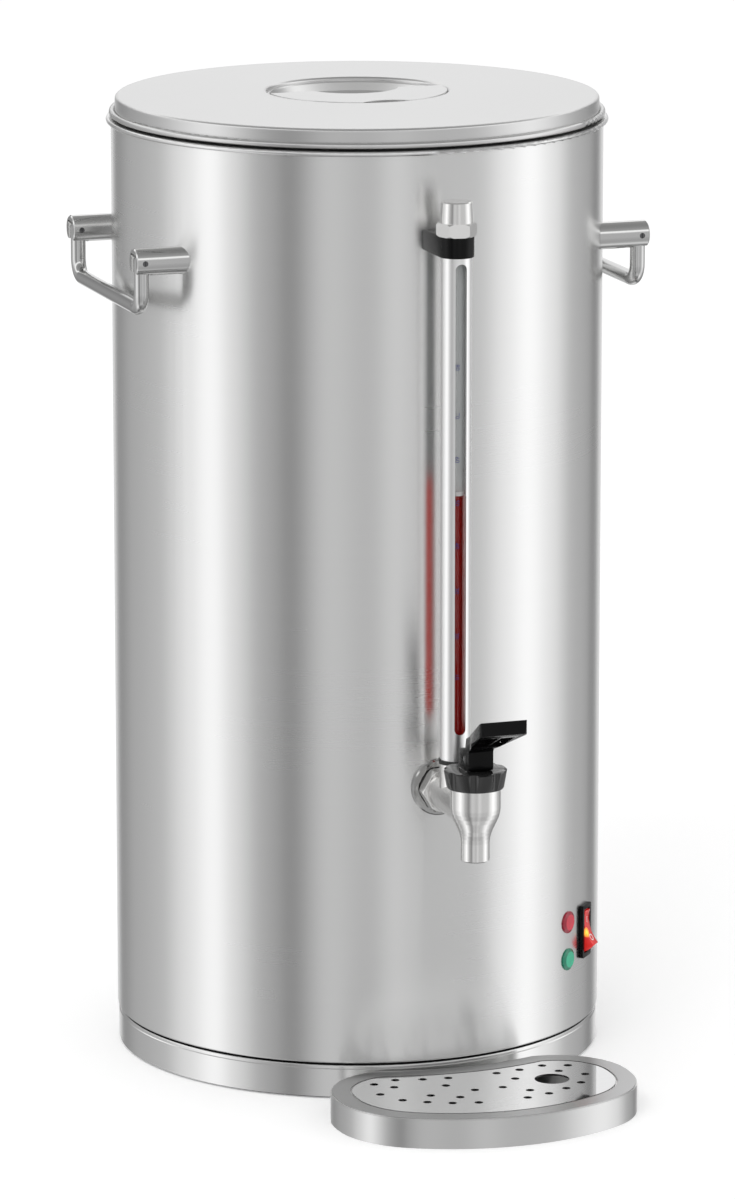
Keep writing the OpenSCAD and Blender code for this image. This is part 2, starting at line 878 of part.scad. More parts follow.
// Screws from inside the jacket into the bracket
module bracket_screws() {
    head_r = 2.8;
    head_t = 2;
    seat = sqrt(pow(body_r - shell_wall, 2) - pow(bracket_screw_x + head_r, 2)) - body_r;
    color("gray")
        for (x = [-1, 1])
            at_wall(0, bracket_z + bracket_h / 2, seat - head_t)
                translate([x * bracket_screw_x, 0, 0])
                    difference() {
                        union() {
                            cylinder(r = head_r, h = head_t);
                            cylinder(r = bracket_screw_r, h = head_t - seat + bracket_screw_in);
                        }
                        translate([0, 0, 0.3])
                            cube([0.6, 2 * head_r + over, 1.4], center = true);
                    }
}

// Metal tube round the glass, slotted at the front and at the back
module gauge_shield() {
    slot_mid_z = (slot_top + slot_foot) / 2;
    run = slot_top - slot_foot - slot_w;
    color("silver")
        at_gauge(0)
            difference() {
                translate([0, 0, shield_z])
                    ring(shield_r, shield_r - shield_wall, bracket_top - shield_z);
                translate([0, 0, slot_mid_z])
                    cube([slot_w, 4 * shield_r, run], center = true);
                for (s = [-1, 1])
                    translate([0, 0, slot_mid_z + s * run / 2])
                        rotate([90, 0, 0])
                            cylinder(r = slot_w / 2, h = 4 * shield_r, center = true);
            }
}

// Glass tube that stands in the tap's socket and ends in the gauge head
module gauge_glass() {
    color([0.8, 0.85, 0.88, 0.4])
        at_gauge(glass_foot)
            ring(glass_r, glass_r - glass_wall, glass_top - glass_foot);
}

// Column of liquid in the glass
module gauge_liquid() {
    color([0.45, 0.05, 0.03])
        at_gauge(glass_foot)
            cylinder(r = glass_r - glass_wall - fixed_gap, h = tap_z + liquid_rise - glass_foot);
}

// Black ring between the tap's socket and the shield
module gauge_foot_seal() {
    color(rubber)
        at_gauge(socket_z)
            ring(shield_r + 0.6, glass_r + fixed_gap, seal_t);
}

// Rubber ring that the gauge head presses on the glass
module gauge_head_seal() {
    color(rubber)
        at_gauge(bracket_z)
            ring(shield_r - shield_wall - fixed_gap, glass_r + fixed_gap, 3);
}

// Hexagonal head whose spigot is screwed into the shield
module gauge_head() {
    spigot_r = shield_r - shield_wall - fixed_gap;
    spigot_z = bracket_z + 3 + fixed_gap;
    thread_r = cap_r - 2;
    color("silver")
        at_gauge(0)
            rotate([0, 0, head_turn])
                difference() {
                    union() {
                        translate([0, 0, bracket_top])
                            rotate([0, 0, 30])
                                hex_nut(head_af, head_h, glass_r);
                        translate([0, 0, spigot_z])
                            cylinder(r = spigot_r, h = bracket_top + 1 - spigot_z);
                        translate([0, 0, head_top - 1])
                            cylinder(r = thread_r, h = cap_h - 4);
                    }
                    translate([0, 0, spigot_z - over])
                        cylinder(r = glass_r + fixed_gap, h = glass_top + 0.5 - spigot_z + over);
                    translate([0, 0, glass_top])
                        cylinder(r = glass_r - glass_wall, h = cap_h + head_h);
                }
}

// Screwed cap that is taken off to brush the glass
module gauge_cap() {
    inside_r = cap_r - 2 + fixed_gap;
    edge = 0.5;
    color("silver")
        at_gauge(head_top)
            difference() {
                rotate_extrude()
                    polygon([[0, 0], [cap_r, 0], [cap_top_r, cap_h - edge], [cap_top_r - edge, cap_h], [0, cap_h]]);
                translate([0, 0, -over])
                    cylinder(r = inside_r, h = cap_h - 4.5 + over);
            }
}

// ---- Tap ----

// Polished collar against the shell
module tap_collar() {
    edge = 0.7;
    color("silver")
        difference() {
            translate([0, -body_r / 2, tap_z])
                rotate([90, 0, 0])
                    rotate_extrude()
                        polygon([[shank_r + fixed_gap, 0], [collar_r, 0], [collar_r, collar_end - body_r / 2 - edge],
                            [collar_r - edge, collar_end - body_r / 2], [shank_r + fixed_gap, collar_end - body_r / 2]]);
            cylinder(r = body_r, h = rim_z, $fn = fine);
        }
}

// Rubber ring between the collar and the nut
module tap_outer_seal() {
    color(rubber)
        at_wall(0, tap_z, collar_t)
            ring(tap_seal_r, shank_r + fixed_gap, tap_seal_t);
}

// Hexagonal nut on the shank
module tap_nut() {
    color("silver")
        at_wall(0, tap_z, collar_t + tap_seal_t)
            hex_nut(tap_nut_af, tap_nut_t, shank_r + fixed_gap);
}

// Sleeve that keeps the two walls apart at the tap
module jacket_spacer() {
    color("gray")
        difference() {
            intersection() {
                at_wall(0, tap_z, -2 * jacket_gap)
                    ring(shank_r + 4, shank_r + fixed_gap, 2 * jacket_gap);
                cylinder(r = body_r - shell_wall, h = rim_z, $fn = fine);
            }
            cylinder(r = vessel_r, h = rim_z, $fn = fine);
        }
}

lock_seal_t = 2;
lock_nut_t = 5;

// Rubber washer inside the vessel, shaped to the wall
module tap_inner_seal() {
    face = vessel_in - lock_seal_t - 1;
    color(rubber)
        intersection() {
            translate([0, -face, tap_z])
                rotate([90, 0, 0])
                    ring(shank_r + 5, shank_r + fixed_gap, lock_seal_t + 2);
            cylinder(r = vessel_in, h = rim_z, $fn = fine);
        }
}

// Nut on the shank inside the vessel
module tap_lock_nut() {
    face = vessel_in - lock_seal_t - 1;
    color("silver")
        translate([0, lock_nut_t - face, tap_z])
            rotate([90, 0, 0])
                hex_nut(tap_nut_af, lock_nut_t, shank_r + fixed_gap);
}

// Radius of the valve body's tapered cone, t from 0 at the spout to 1 at the top
function taper(t) = spout_r + (valve_r - spout_r) * (1 - cos(180 * t)) / 2;

// Cast tap with its shank, gauge socket, valve body and spout
module tap_body() {
    shank_end = vessel_in - lock_seal_t - lock_nut_t - 4;
    taper_z = tap_z - 16.5;
    taper_h = 19;
    mouth_z = tap_z - spout_drop;
    lip = 0.6;
    color("silver")
        difference() {
            union() {
                translate([0, -shank_end, tap_z])
                    rotate([90, 0, 0])
                        cylinder(r = shank_r, h = nut_end - shank_end + 1);
                translate([0, -nut_end, tap_z])
                    rotate([90, 0, 0])
                        cylinder(r = arm_r, h = -spout_y - nut_end);
                at_gauge(tap_z)
                    cylinder(r = shield_r + 0.2, h = socket_rise);
                translate([0, spout_y, 0])
                    rotate_extrude()
                        polygon(concat(
                            [[0, mouth_z], [spout_r - lip, mouth_z], [spout_r, mouth_z + lip]],
                            [for (i = [0:8]) [taper(i / 8), taper_z + taper_h * i / 8]],
                            [[valve_r, valve_top], [neck_r, valve_top], [neck_r, neck_top], [0, neck_top]]));
            }
            translate([0, spout_y, seat_face])
                cylinder(r = chamber_r, h = neck_top - seat_face + over);
            translate([0, spout_y, mouth_z - over])
                cylinder(r = spout_bore, h = seat_face - mouth_z + 2 * over);
            translate([0, over - shank_end, tap_z])
                rotate([90, 0, 0])
                    cylinder(r = 4.5, h = -spout_y - shank_end + over);
            at_gauge(tap_z)
                cylinder(r = glass_r - glass_wall, h = socket_rise + over);
            at_gauge(glass_foot)
                cylinder(r = glass_r + fixed_gap, h = socket_z - glass_foot + over);
        }
}

// Fluted cap that closes the valve
module tap_bonnet() {
    foot_r = bonnet_r - 1.5;
    edge = 0.6;
    flute_r = 3;
    flute_d = 1.7;
    flute_lean = 3;
    ceiling = neck_top + 0.1 - valve_top;
    color(moulded)
        translate([0, spout_y, valve_top])
            difference() {
                rotate_extrude()
                    polygon([[stem_r + run_gap, ceiling], [neck_r + fixed_gap, ceiling], [neck_r + fixed_gap, 0],
                        [foot_r - 0.4, 0], [foot_r, 0.8], [bonnet_r, bonnet_h - edge], [bonnet_r - edge, bonnet_h],
                        [stem_r + run_gap, bonnet_h]]);
                for (i = [0:flutes - 1])
                    rotate([0, 0, (i + 0.5) * 360 / flutes])
                        translate([0, flute_d - flute_r - bonnet_r, bonnet_h])
                            rotate([flute_lean, 0, 0])
                                cylinder(r = flute_r, h = 2 * bonnet_h, center = true);
            }
}

foot_disc_r = 4.4;
foot_disc_t = 1.6;
foot_disc_z = seat_face + 2.6;

// Stem and its foot disc, grown by a gap
module stem_solid(gap) {
    translate([0, spout_y, foot_disc_z - gap])
        cylinder(r = foot_disc_r + gap, h = foot_disc_t + 2 * gap);
    translate([0, spout_y, foot_disc_z])
        cylinder(r = stem_r + gap, h = pin_z - foot_disc_z);
}

// Stem with its foot in the seat cup and its eye on the lever's pin
module valve_stem() {
    color("silver")
        difference() {
            union() {
                stem_solid(0);
                translate([0, spout_y, pin_z])
                    sphere(r = stem_r);
            }
            translate([-2 * stem_r, spout_y, pin_z])
                rotate([0, 90, 0])
                    cylinder(r = pin_r + run_gap, h = 4 * stem_r);
        }
}

// Silicone cup that closes the spout
module seat_cup() {
    cup_r0 = chamber_r - 1.6;
    cup_r1 = chamber_r - 0.9;
    height = 6.4;
    foot = seat_face + 0.1;
    color([0.85, 0.85, 0.82])
        difference() {
            translate([0, spout_y, foot])
                rotate_extrude()
                    polygon([[0, 0], [cup_r0, 0], [cup_r1, 1.5], [cup_r1, height - 1], [cup_r1 - 1, height], [0, height]]);
            stem_solid(fixed_gap);
        }
}

spring_wire = 0.4;
spring_r = 4.2;
spring_turns = 6;
spring_foot = seat_face + 6.5 + spring_wire + 0.05;

// Compression spring between the seat cup and the bonnet
module tap_spring() {
    rise = neck_top + 0.05 - spring_wire - spring_foot;
    steps = spring_turns * 14;
    color("gray")
        translate([0, spout_y, spring_foot])
            swept_tube([for (i = [0:steps])
                let (a = 360 * spring_turns * i / steps)
                [spring_r * cos(a), spring_r * sin(a), rise * i / steps]], spring_wire, 6);
}

// Side outline of the lever, Y forwards from the stem and Z up from its foot
lever_rise = 24.5;
block_back = 6.5;
block_front = 8.5;
block_h = 11.7;
block_step = 1;
front_lean = 1.4;
front_round = 1.6;
function lever_side() =
    let (
        round_r = 2,
        crest = 1.4,
        root = [block_front + block_step, block_h + 0.4 * block_step],
        front_z = root[1] + (lever_len - root[0]) * tan(lever_rise),
        lift = paddle_t / cos(lever_rise),
        back = block_front - 4 * block_step
    )
    concat(
        [[-block_back, 0]],
        arc([block_front - round_r, round_r], round_r, -90, 0, 5),
        [[block_front, block_h - block_step], root, [lever_len, front_z],
         [lever_len - front_lean, front_z + lift - front_round / 2],
         [lever_len - front_lean - front_round, front_z + lift - front_round],
         [back, root[1] + lift + (back - root[0]) * tan(lever_rise)],
         [back - crest, block_h + crest / 2], [-block_back, block_h - crest]]);

// Black lever whose block rocks on the bonnet and lifts the stem
module tap_lever() {
    half_block = block_w / 2;
    half_front = lever_w / 2;
    half_root = half_block + 0.9;
    slot_half = stem_r + move_gap;
    slot_front = block_front - 1.9;
    pocket_h = pin_z - block_z + stem_r + 0.8;
    color(moulded)
        translate([0, spout_y, block_z])
            difference() {
                intersection() {
                    translate([-half_front, 0, 0])
                        rotate([90, 0, 90])
                            mirror([1, 0, 0])
                                linear_extrude(lever_w)
                                    polygon(lever_side());
                    linear_extrude(2 * lever_len)
                        mirror([0, 1, 0])
                            polygon(concat(
                                [[-half_block, -block_back], [half_block, -block_back], [half_block, block_front + 2],
                                 [half_root, block_front + 5], [half_front, lever_len - 4]],
                                arc([half_front - 2.5, lever_len - 2.5], 2.5, 0, 90, 4),
                                arc([2.5 - half_front, lever_len - 2.5], 2.5, 90, 180, 4),
                                [[-half_front, lever_len - 4], [-half_root, block_front + 5],
                                 [-half_block, block_front + 2]]));
                }
                translate([-slot_half, -slot_front, -over])
                    cube([2 * slot_half, slot_front + slot_half, pocket_h + over]);
                translate([-half_front, 0, pin_z - block_z])
                    rotate([0, 90, 0])
                        cylinder(r = pin_r + 0.01, h = lever_w);
                lever_pocket();
            }
}

// Hollow under the paddle with a rib down its middle
module lever_pocket() {
    depth = 2.4;
    rib = 1.2;
    wall = 2.2;
    start = block_front + 8;
    length = lever_len - start - 5;
    half = lever_w / 2 - wall - 2.4;
    for (s = [-1, 1])
        translate([0, -start, block_h + (start - block_front - 1) * tan(lever_rise)])
            rotate([-lever_rise, 0, 0])
                translate([s > 0 ? rib / 2 : -half, -length, -2])
                    cube([half - rib / 2, length, depth + 2.2]);
}

module lever_pin() {
    color("gray")
        translate([-block_w / 2 + 0.3, spout_y, pin_z])
            rotate([0, 90, 0])
                cylinder(r = pin_r, h = block_w - 0.6);
}

// ---- Controls ----

window_w = switch_body_w - 2;
rocker_w = window_w - 2 * move_gap;
trunnion_r = 1.2;
trunnion_w = window_w + 1.6;

// Switch body with its bezel and its three blade terminals
module switch_frame() {
    bezel_t = 1.9;
    well = 9;
    color(moulded)
        at_wall(switch_turn, switch_z, 0.02)
            difference() {
                union() {
                    linear_extrude(bezel_t)
                        round_rect(switch_w, switch_h, 1.5);
                    translate([-switch_body_w / 2, -switch_body_h / 2, -switch_depth])
                        cube([switch_body_w, switch_body_h, switch_depth + 0.5]);
                    for (s = [-1, 0, 1])
                        translate([-blade_w / 2, s * switch_body_h / 3 - blade_t / 2, -switch_depth - blade_len])
                            cube([blade_w, blade_t, blade_len + over]);
                }
                translate([-window_w / 2, -window_h / 2, -well])
                    cube([window_w, window_h, well + bezel_t + over]);
                translate([-switch_w, 0, -pivot_depth])
                    rotate([0, 90, 0])
                        cylinder(r = trunnion_r + run_gap, h = 2 * switch_w);
            }
}

// Rocker cap, hollow-faced, on its two trunnions, resting with its lower end out
module switch_rocker() {
    top_turn = atan2(rocker_rise, rocker_half);
    hollow = rocker_rise - rocker_dip;
    face_r = (pow(rocker_half, 2) + pow(hollow, 2)) / (2 * hollow);
    face_turn = 0.85 * asin(rocker_half / face_r);
    tail_turn = -5;
    foot_half = 4;
    foot = -3;
    color([0.75, 0.06, 0.05])
        at_wall(switch_turn, switch_z, -pivot_depth)
            rotate([-rocker_tilt, 0, 0])
                union() {
                    translate([-rocker_w / 2, 0, 0])
                        rotate([90, 0, 90])
                            linear_extrude(rocker_w)
                                polygon(concat(
                                    arc([0, 0], rocker_end_r, 180 - top_turn, 180 - tail_turn, 4),
                                    [[-foot_half, foot], [foot_half, foot]],
                                    arc([0, 0], rocker_end_r, tail_turn, top_turn, 4),
                                    arc([0, rocker_dip + face_r], face_r, face_turn - 90, -face_turn - 90, 8)));
                    translate([-trunnion_w / 2, 0, 0])
                        rotate([0, 90, 0])
                            cylinder(r = trunnion_r, h = trunnion_w);
                }
}

// Pilot light with a bevelled lens and a threaded barrel
module pilot_light(z) {
    lens_h = 1.6;
    face_r = light_r - 1.8;
    foot_round = 0.4;
    bulge = 0.3;
    barrel = 14;
    at_wall(light_turn, z, 0.02)
        union() {
            rotate_extrude()
                polygon(concat([[0, 0], [light_r, 0]],
                    arc([light_r - foot_round, foot_round], foot_round, 0, 60, 3),
                    arc([face_r, lens_h - bulge], bulge, 60, 85, 2),
                    [[0, lens_h]]));
            translate([0, 0, -barrel])
                cylinder(r = light_hole_r, h = barrel + 0.5);
        }
}

module red_light() {
    color([0.75, 0.05, 0.12])
        pilot_light(red_z);
}

module green_light() {
    color([0.05, 0.55, 0.3])
        pilot_light(green_z);
}

// Round nuts that hold the pilot lights inside the shell
module light_nuts() {
    nut_t = 3;
    nut_r = 7.4;
    seat = sqrt(pow(body_r - shell_wall, 2) - pow(nut_r, 2)) - body_r;
    color("gray")
        for (z = [red_z, green_z])
            at_wall(light_turn, z, seat - nut_t)
                ring(nut_r, light_hole_r + fixed_gap, nut_t);
}

// Moulded gland that the mains cord passes through at the back
module cord_gland() {
    flange_r = gland_r + 3;
    flange_t = 3.2;
    nose_foot_r = gland_r + 0.5;
    nose_top_r = gland_r - 1.5;
    color(moulded)
        at_wall(180, gland_z, 0)
            difference() {
                rotate_extrude()
                    polygon([[0, -gland_barrel], [gland_r, -gland_barrel], [gland_r, 0.1], [flange_r, 0.1],
                        [flange_r, flange_t], [nose_foot_r, flange_t + 0.8], [nose_top_r, gland_nose],
                        [0, gland_nose]]);
                translate([0, 0, -gland_barrel - over])
                    cylinder(r = gland_bore, h = gland_barrel + gland_nose + 2 * over);
            }
}

// Nut that holds the gland inside the shell
module gland_nut() {
    nut_t = 4;
    nut_af = 21;
    seat = sqrt(pow(body_r - shell_wall, 2) - pow(nut_af / sqrt(3), 2)) - body_r;
    color(moulded)
        at_wall(180, gland_z, seat - nut_t)
            hex_nut(nut_af, nut_t, gland_r + fixed_gap);
}

// ---- Heating ----

// Cast heater clamped round the well, with its two terminals
module heater_block() {
    edge = 1.5;
    color("darkgray")
        union() {
            rotate_extrude()
                polygon([[block_in, heater_foot], [heater_r - edge, heater_foot], [heater_r, heater_foot + edge],
                    [heater_r, floor_under - edge], [heater_r - edge, floor_under], [block_in, floor_under]]);
            for (a = [-pin_turn, pin_turn])
                rotate([0, 0, a])
                    translate([heater_mid, 0, heater_foot - heater_pin])
                        cylinder(r = terminal_pin_r, h = heater_pin + over);
        }
}

// Small tubular heater that keeps the drink hot, brazed under the floor
module warm_ring() {
    tube_r = 3.5;
    span = 320;
    pin_h = 20;
    color("darkgray")
        union() {
            rotate_extrude(angle = span)
                translate([warm_r, floor_under - tube_r])
                    circle(r = tube_r, $fn = 24);
            for (a = [0.5, span - 0.5])
                rotate([0, 0, a])
                    translate([warm_r, 0, floor_under - tube_r / 2 - pin_h])
                        cylinder(r = terminal_pin_r, h = pin_h);
        }
}

// Disc thermostat with two blades, under the heater block
module disc_switch(turn, r) {
    rotate([0, 0, turn])
        translate([heater_mid, 0, heater_foot - disc_h])
            union() {
                cylinder(r = r, h = disc_h);
                for (s = [-1, 1])
                    translate([-blade_t / 2, s * (r - blade_w / 2) - blade_w / 2, -blade_len])
                        cube([blade_t, blade_w, blade_len + over]);
            }
}

module brew_thermostat() {
    color("black")
        disc_switch(stat_turn, stat_r);
}

module boil_dry_cutout() {
    color("dimgray")
        disc_switch(cutout_turn, cutout_r);
}

// Screw terminal block on the base plate
module terminal_block() {
    screw_well = 5;
    color("ivory")
        translate([0, terminal_y, terminal_foot])
            difference() {
                translate([-terminal_w / 2, -terminal_d / 2, 0])
                    cube([terminal_w, terminal_d, terminal_h]);
                for (x = [-1, 0, 1])
                    translate([x * terminal_pitch, 0, 0]) {
                        translate([0, 0, terminal_h - screw_well])
                            cylinder(r = wire_r + 1, h = screw_well + over);
                        translate([0, 0, terminal_hole])
                            rotate([90, 0, 0])
                                cylinder(r = wire_r + move_gap, h = 2 * terminal_d, center = true);
                    }
            }
}

// One blade of the brew thermostat at height z
function stat_blade(z) = [
    heater_mid * cos(stat_turn) - (stat_r - blade_w / 2) * sin(stat_turn),
    heater_mid * sin(stat_turn) + (stat_r - blade_w / 2) * cos(stat_turn),
    z];

// Point at height z, at a distance from the axis and a turn from the tap
function polar(r, turn, z) = [r * sin(turn), -r * cos(turn), z];

// Smooth path through a few points
function eased(p, n = 6) =
    [for (i = [0:len(p) - 2])
        for (k = [0:n - 1])
            let (
                t = k / n,
                a = p[max(i - 1, 0)],
                b = p[i],
                c = p[i + 1],
                d = p[min(i + 2, len(p) - 1)]
            )
            0.5 * (2 * b + (c - a) * t + (2 * a - 5 * b + 4 * c - d) * t * t + (3 * b - a - 3 * c + d) * t * t * t),
     p[len(p) - 1]];

// Leads from the terminal block to the switch and the heaters
module wiring() {
    z0 = terminal_foot + terminal_hole;
    inside = terminal_y - terminal_d / 2 + 5;
    mouth = inside - 7;
    outside = inside - 12;
    blade_tip = body_r - switch_depth - blade_len;
    heater_turn = 90 + pin_turn;
    heater_tip = heater_foot - heater_pin - lead_gap;
    blade_foot = heater_foot - disc_h - blade_len - lead_gap;
    color([0.5, 0.25, 0.1]) {
        swept_tube(eased([[terminal_pitch, inside, z0], [terminal_pitch, mouth, z0], [terminal_pitch, outside, z0],
            [24, 26, 18], [66, 0, 34], polar(92, switch_turn + 6, 60), polar(96, switch_turn, switch_z),
            polar(blade_tip - lead_gap, switch_turn, switch_z)]), wire_r);
        swept_tube(eased([[0, inside, z0], [0, mouth, z0], [0, outside, z0], [6, 30, 24], [30, 16, 60],
            polar(heater_mid, heater_turn, heater_tip - 14), polar(heater_mid, heater_turn, heater_tip)]), wire_r);
        swept_tube(eased([[-terminal_pitch, inside, z0], [-terminal_pitch, mouth, z0], [-terminal_pitch, outside, z0],
            [-13, 36, 24],
            stat_blade(60), stat_blade(blade_foot - 16), stat_blade(blade_foot)]), wire_r);
    }
}

// ---- Brewing parts ----

// Pump tube with its bell in the well, and the collar that carries the basket
module riser_tube() {
    bell_r = well_r - 2.5;
    bell_h = 16;
    foot = well_z + move_gap;
    color("silver")
        difference() {
            union() {
                translate([0, 0, foot + 4])
                    cylinder(r = riser_r, h = riser_top - foot - 4);
                translate([0, 0, foot])
                    rotate_extrude()
                        polygon([[bell_r - 1, 0], [bell_r, 0], [bell_r, 3], [riser_r, bell_h], [riser_bore, bell_h],
                            [riser_bore, bell_h - 1.2], [bell_r - 1, 2.4]]);
                translate([0, 0, collar_z])
                    cylinder(r = riser_r + 4, h = stop_t - fixed_gap);
            }
            translate([0, 0, foot - over])
                cylinder(r = riser_bore, h = riser_top - foot + 2 * over);
            for (a = [0:60:300])
                rotate([0, 0, a])
                    translate([bell_r - 4, -2, foot - over])
                        cube([8, 4, 2.2]);
        }
}

// Perforated basket for the ground coffee
module filter_basket() {
    tube_r = riser_r + 1.2;
    hole_r = 1.5;
    color("silver")
        translate([0, 0, basket_z])
            difference() {
                union() {
                    ring(basket_r, basket_r - basket_wall, basket_h);
                    ring(basket_r, riser_r + run_gap, 1);
                    ring(tube_r, riser_r + run_gap, basket_h - 6);
                    translate([0, 0, basket_h - 1])
                        ring(basket_r + 2.5, basket_r - basket_wall, 1);
                }
                for (k = [1:5])
                    for (i = [0:6 * k - 1])
                        rotate([0, 0, i * 60 / k])
                            translate([5 + k * (basket_r - 12) / 5, 0, -over])
                                cylinder(r = hole_r, h = 3, $fn = 16);
            }
}

// Perforated lid that spreads the water over the coffee
module basket_spreader() {
    color("silver")
        translate([0, 0, basket_top + fixed_gap])
            difference() {
                union() {
                    cylinder(r = basket_r + 1.5, h = 1);
                    translate([0, 0, 0.5])
                        ring(basket_r - 10, basket_r - 11, 4);
                    cylinder(r = riser_r + 3, h = 6);
                }
                translate([0, 0, -over])
                    cylinder(r = riser_r + run_gap, h = 8);
                for (k = [1:3])
                    for (i = [0:6 * k - 1])
                        rotate([0, 0, i * 60 / k])
                            translate([6 + k * (basket_r - 26) / 3, 0, -over])
                                cylinder(r = 1.5, h = 3, $fn = 16);
            }
}

// ---- Drip tray ----

tray_recess = ring_r + tray_gap;
grid_t = 1;
grid_gap = 1.1;
ledge = 2.4;

// Outline of the tray, drawn in by a given distance
module tray_plan(inset) {
    front_c = tray_arc - tray_front;
    side_x = tray_half - tray_corner;
    side_y = front_c - sqrt(pow(tray_arc - tray_corner, 2) - side_x * side_x);
    lean = atan2(front_c - side_y, side_x);
    back_x = tray_half - tray_back;
    back_y = -ring_r - tray_back + 4.3;
    right = concat(
        arc([0, front_c], tray_arc - inset, -90, -lean, 8),
        arc([side_x, side_y], tray_corner - inset, -lean, 0, 8),
        arc([back_x, back_y], tray_back - inset, 0, 90, 8));
    last = len(right) - 1;
    difference() {
        polygon(concat(right, [for (i = [0:last]) [-right[last - i][0], right[last - i][1]]]));
        circle(r = tray_recess + inset, $fn = 180);
    }
}

module at_tray(z = 0) {
    translate([tray_side, tray_dy, z])
        children();
}

// Pressed tray with a folded rim and a basin
module drip_tray() {
    edge = 0.7;
    basin_z = 2.2;
    top_z = tray_h - tray_wall;
    basin = tray_rim + ledge;
    color("silver")
        at_tray()
            difference() {
                union() {
                    linear_extrude(tray_h - edge)
                        tray_plan(0);
                    linear_extrude(tray_h)
                        tray_plan(edge);
                }
                difference() {
                    translate([0, 0, -over])
                        linear_extrude(top_z - grid_t - 0.4 + over)
                            tray_plan(tray_wall);
                    translate([0, 0, basin_z])
                        linear_extrude(tray_h)
                            tray_plan(basin - tray_wall);
                }
                translate([0, 0, basin_z + tray_wall])
                    linear_extrude(tray_h)
                        tray_plan(basin);
                translate([0, 0, tray_h - grid_t - 0.2])
                    linear_extrude(tray_h)
                        tray_plan(tray_rim);
            }
}

// Small holes of one half: distance from the middle plane, and in front of the urn's side
grid_holes = [[56, 18.5], [42.5, 14.5], [47.5, 27], [59, 37.3], [51.2, 51.3], [39.8, 59], [27.6, 65],
    [14, 68.5], [28, 18], [14, 20], [20, 33], [8, 46], [20, 56], [34, 48]];
grid_big = [38.7, 39.9];

// Polished perforated plate in the tray's rim
module tray_grid() {
    inset = tray_rim + grid_gap;
    skip_r = grid_big_r + grid_hole_r + 1;
    hole_h = grid_t + 2 * over;
    color("silver")
        at_tray(tray_h - grid_t - 0.2 + move_gap / 2)
            difference() {
                linear_extrude(grid_t)
                    tray_plan(inset);
                translate([grid_big[0], -body_r - grid_big[1], -over])
                    cylinder(r = grid_big_r, h = hole_h);
                for (p = grid_holes)
                    for (s = [-1, 1])
                        if (norm([s * p[0], p[1]] - grid_big) > skip_r)
                            translate([s * p[0], -body_r - p[1], -over])
                                cylinder(r = grid_hole_r, h = hole_h);
            }
}

outer_shell();
base_ring();
base_plate();
foot_ring();
tie_rods();
tie_rod_nuts();
inner_vessel();
lid_shell();
lid_ring();
lid_seal();
lid_cup();
grip_plate();
left_posts();
right_posts();
post_saddles();
post_screws();
pivot_screws();
left_bail();
right_bail();
gauge_bracket();
bracket_screws();
gauge_head();
gauge_cap();
gauge_shield();
gauge_glass();
gauge_liquid();
gauge_foot_seal();
gauge_head_seal();
tap_collar();
tap_outer_seal();
tap_nut();
jacket_spacer();
tap_inner_seal();
tap_lock_nut();
tap_body();
tap_bonnet();
valve_stem();
seat_cup();
tap_spring();
tap_lever();
lever_pin();
switch_frame();
switch_rocker();
red_light();
green_light();
light_nuts();
cord_gland();
gland_nut();
heater_block();
warm_ring();
brew_thermostat();
boil_dry_cutout();
terminal_block();
wiring();
riser_tube();
filter_basket();
basket_spreader();
drip_tray();
tray_grid();
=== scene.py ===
import math
import bmesh
import bpy
from mathutils import Matrix, Vector


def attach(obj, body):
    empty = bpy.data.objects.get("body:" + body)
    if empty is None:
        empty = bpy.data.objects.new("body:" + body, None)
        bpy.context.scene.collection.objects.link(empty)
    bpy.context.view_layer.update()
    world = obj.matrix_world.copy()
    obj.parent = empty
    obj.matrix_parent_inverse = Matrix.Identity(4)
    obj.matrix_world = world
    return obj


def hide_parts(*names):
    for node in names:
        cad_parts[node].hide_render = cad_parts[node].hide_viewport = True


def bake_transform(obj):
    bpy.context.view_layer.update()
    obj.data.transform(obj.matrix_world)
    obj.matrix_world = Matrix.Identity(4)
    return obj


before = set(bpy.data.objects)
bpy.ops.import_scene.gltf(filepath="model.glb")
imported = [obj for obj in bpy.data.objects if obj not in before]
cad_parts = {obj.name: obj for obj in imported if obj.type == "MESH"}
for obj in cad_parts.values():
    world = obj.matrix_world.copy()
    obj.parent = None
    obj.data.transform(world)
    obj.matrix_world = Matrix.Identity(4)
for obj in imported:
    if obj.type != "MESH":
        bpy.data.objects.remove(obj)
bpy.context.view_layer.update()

# Outer shell: a cylinder of 1 mm stainless sheet, seam-welded down its back and brushed round
# its girth, so that what it mirrors stays sharp sideways and is drawn out up and down.
urn_radius = 0.135
scratches_round, scratches_up = 0.8, 380.0
weld_half_width = 0.0016
weld_rise, bead_rise = 90.0, 30.0
heat_tint = (0.42, 0.40, 0.38, 1.0)


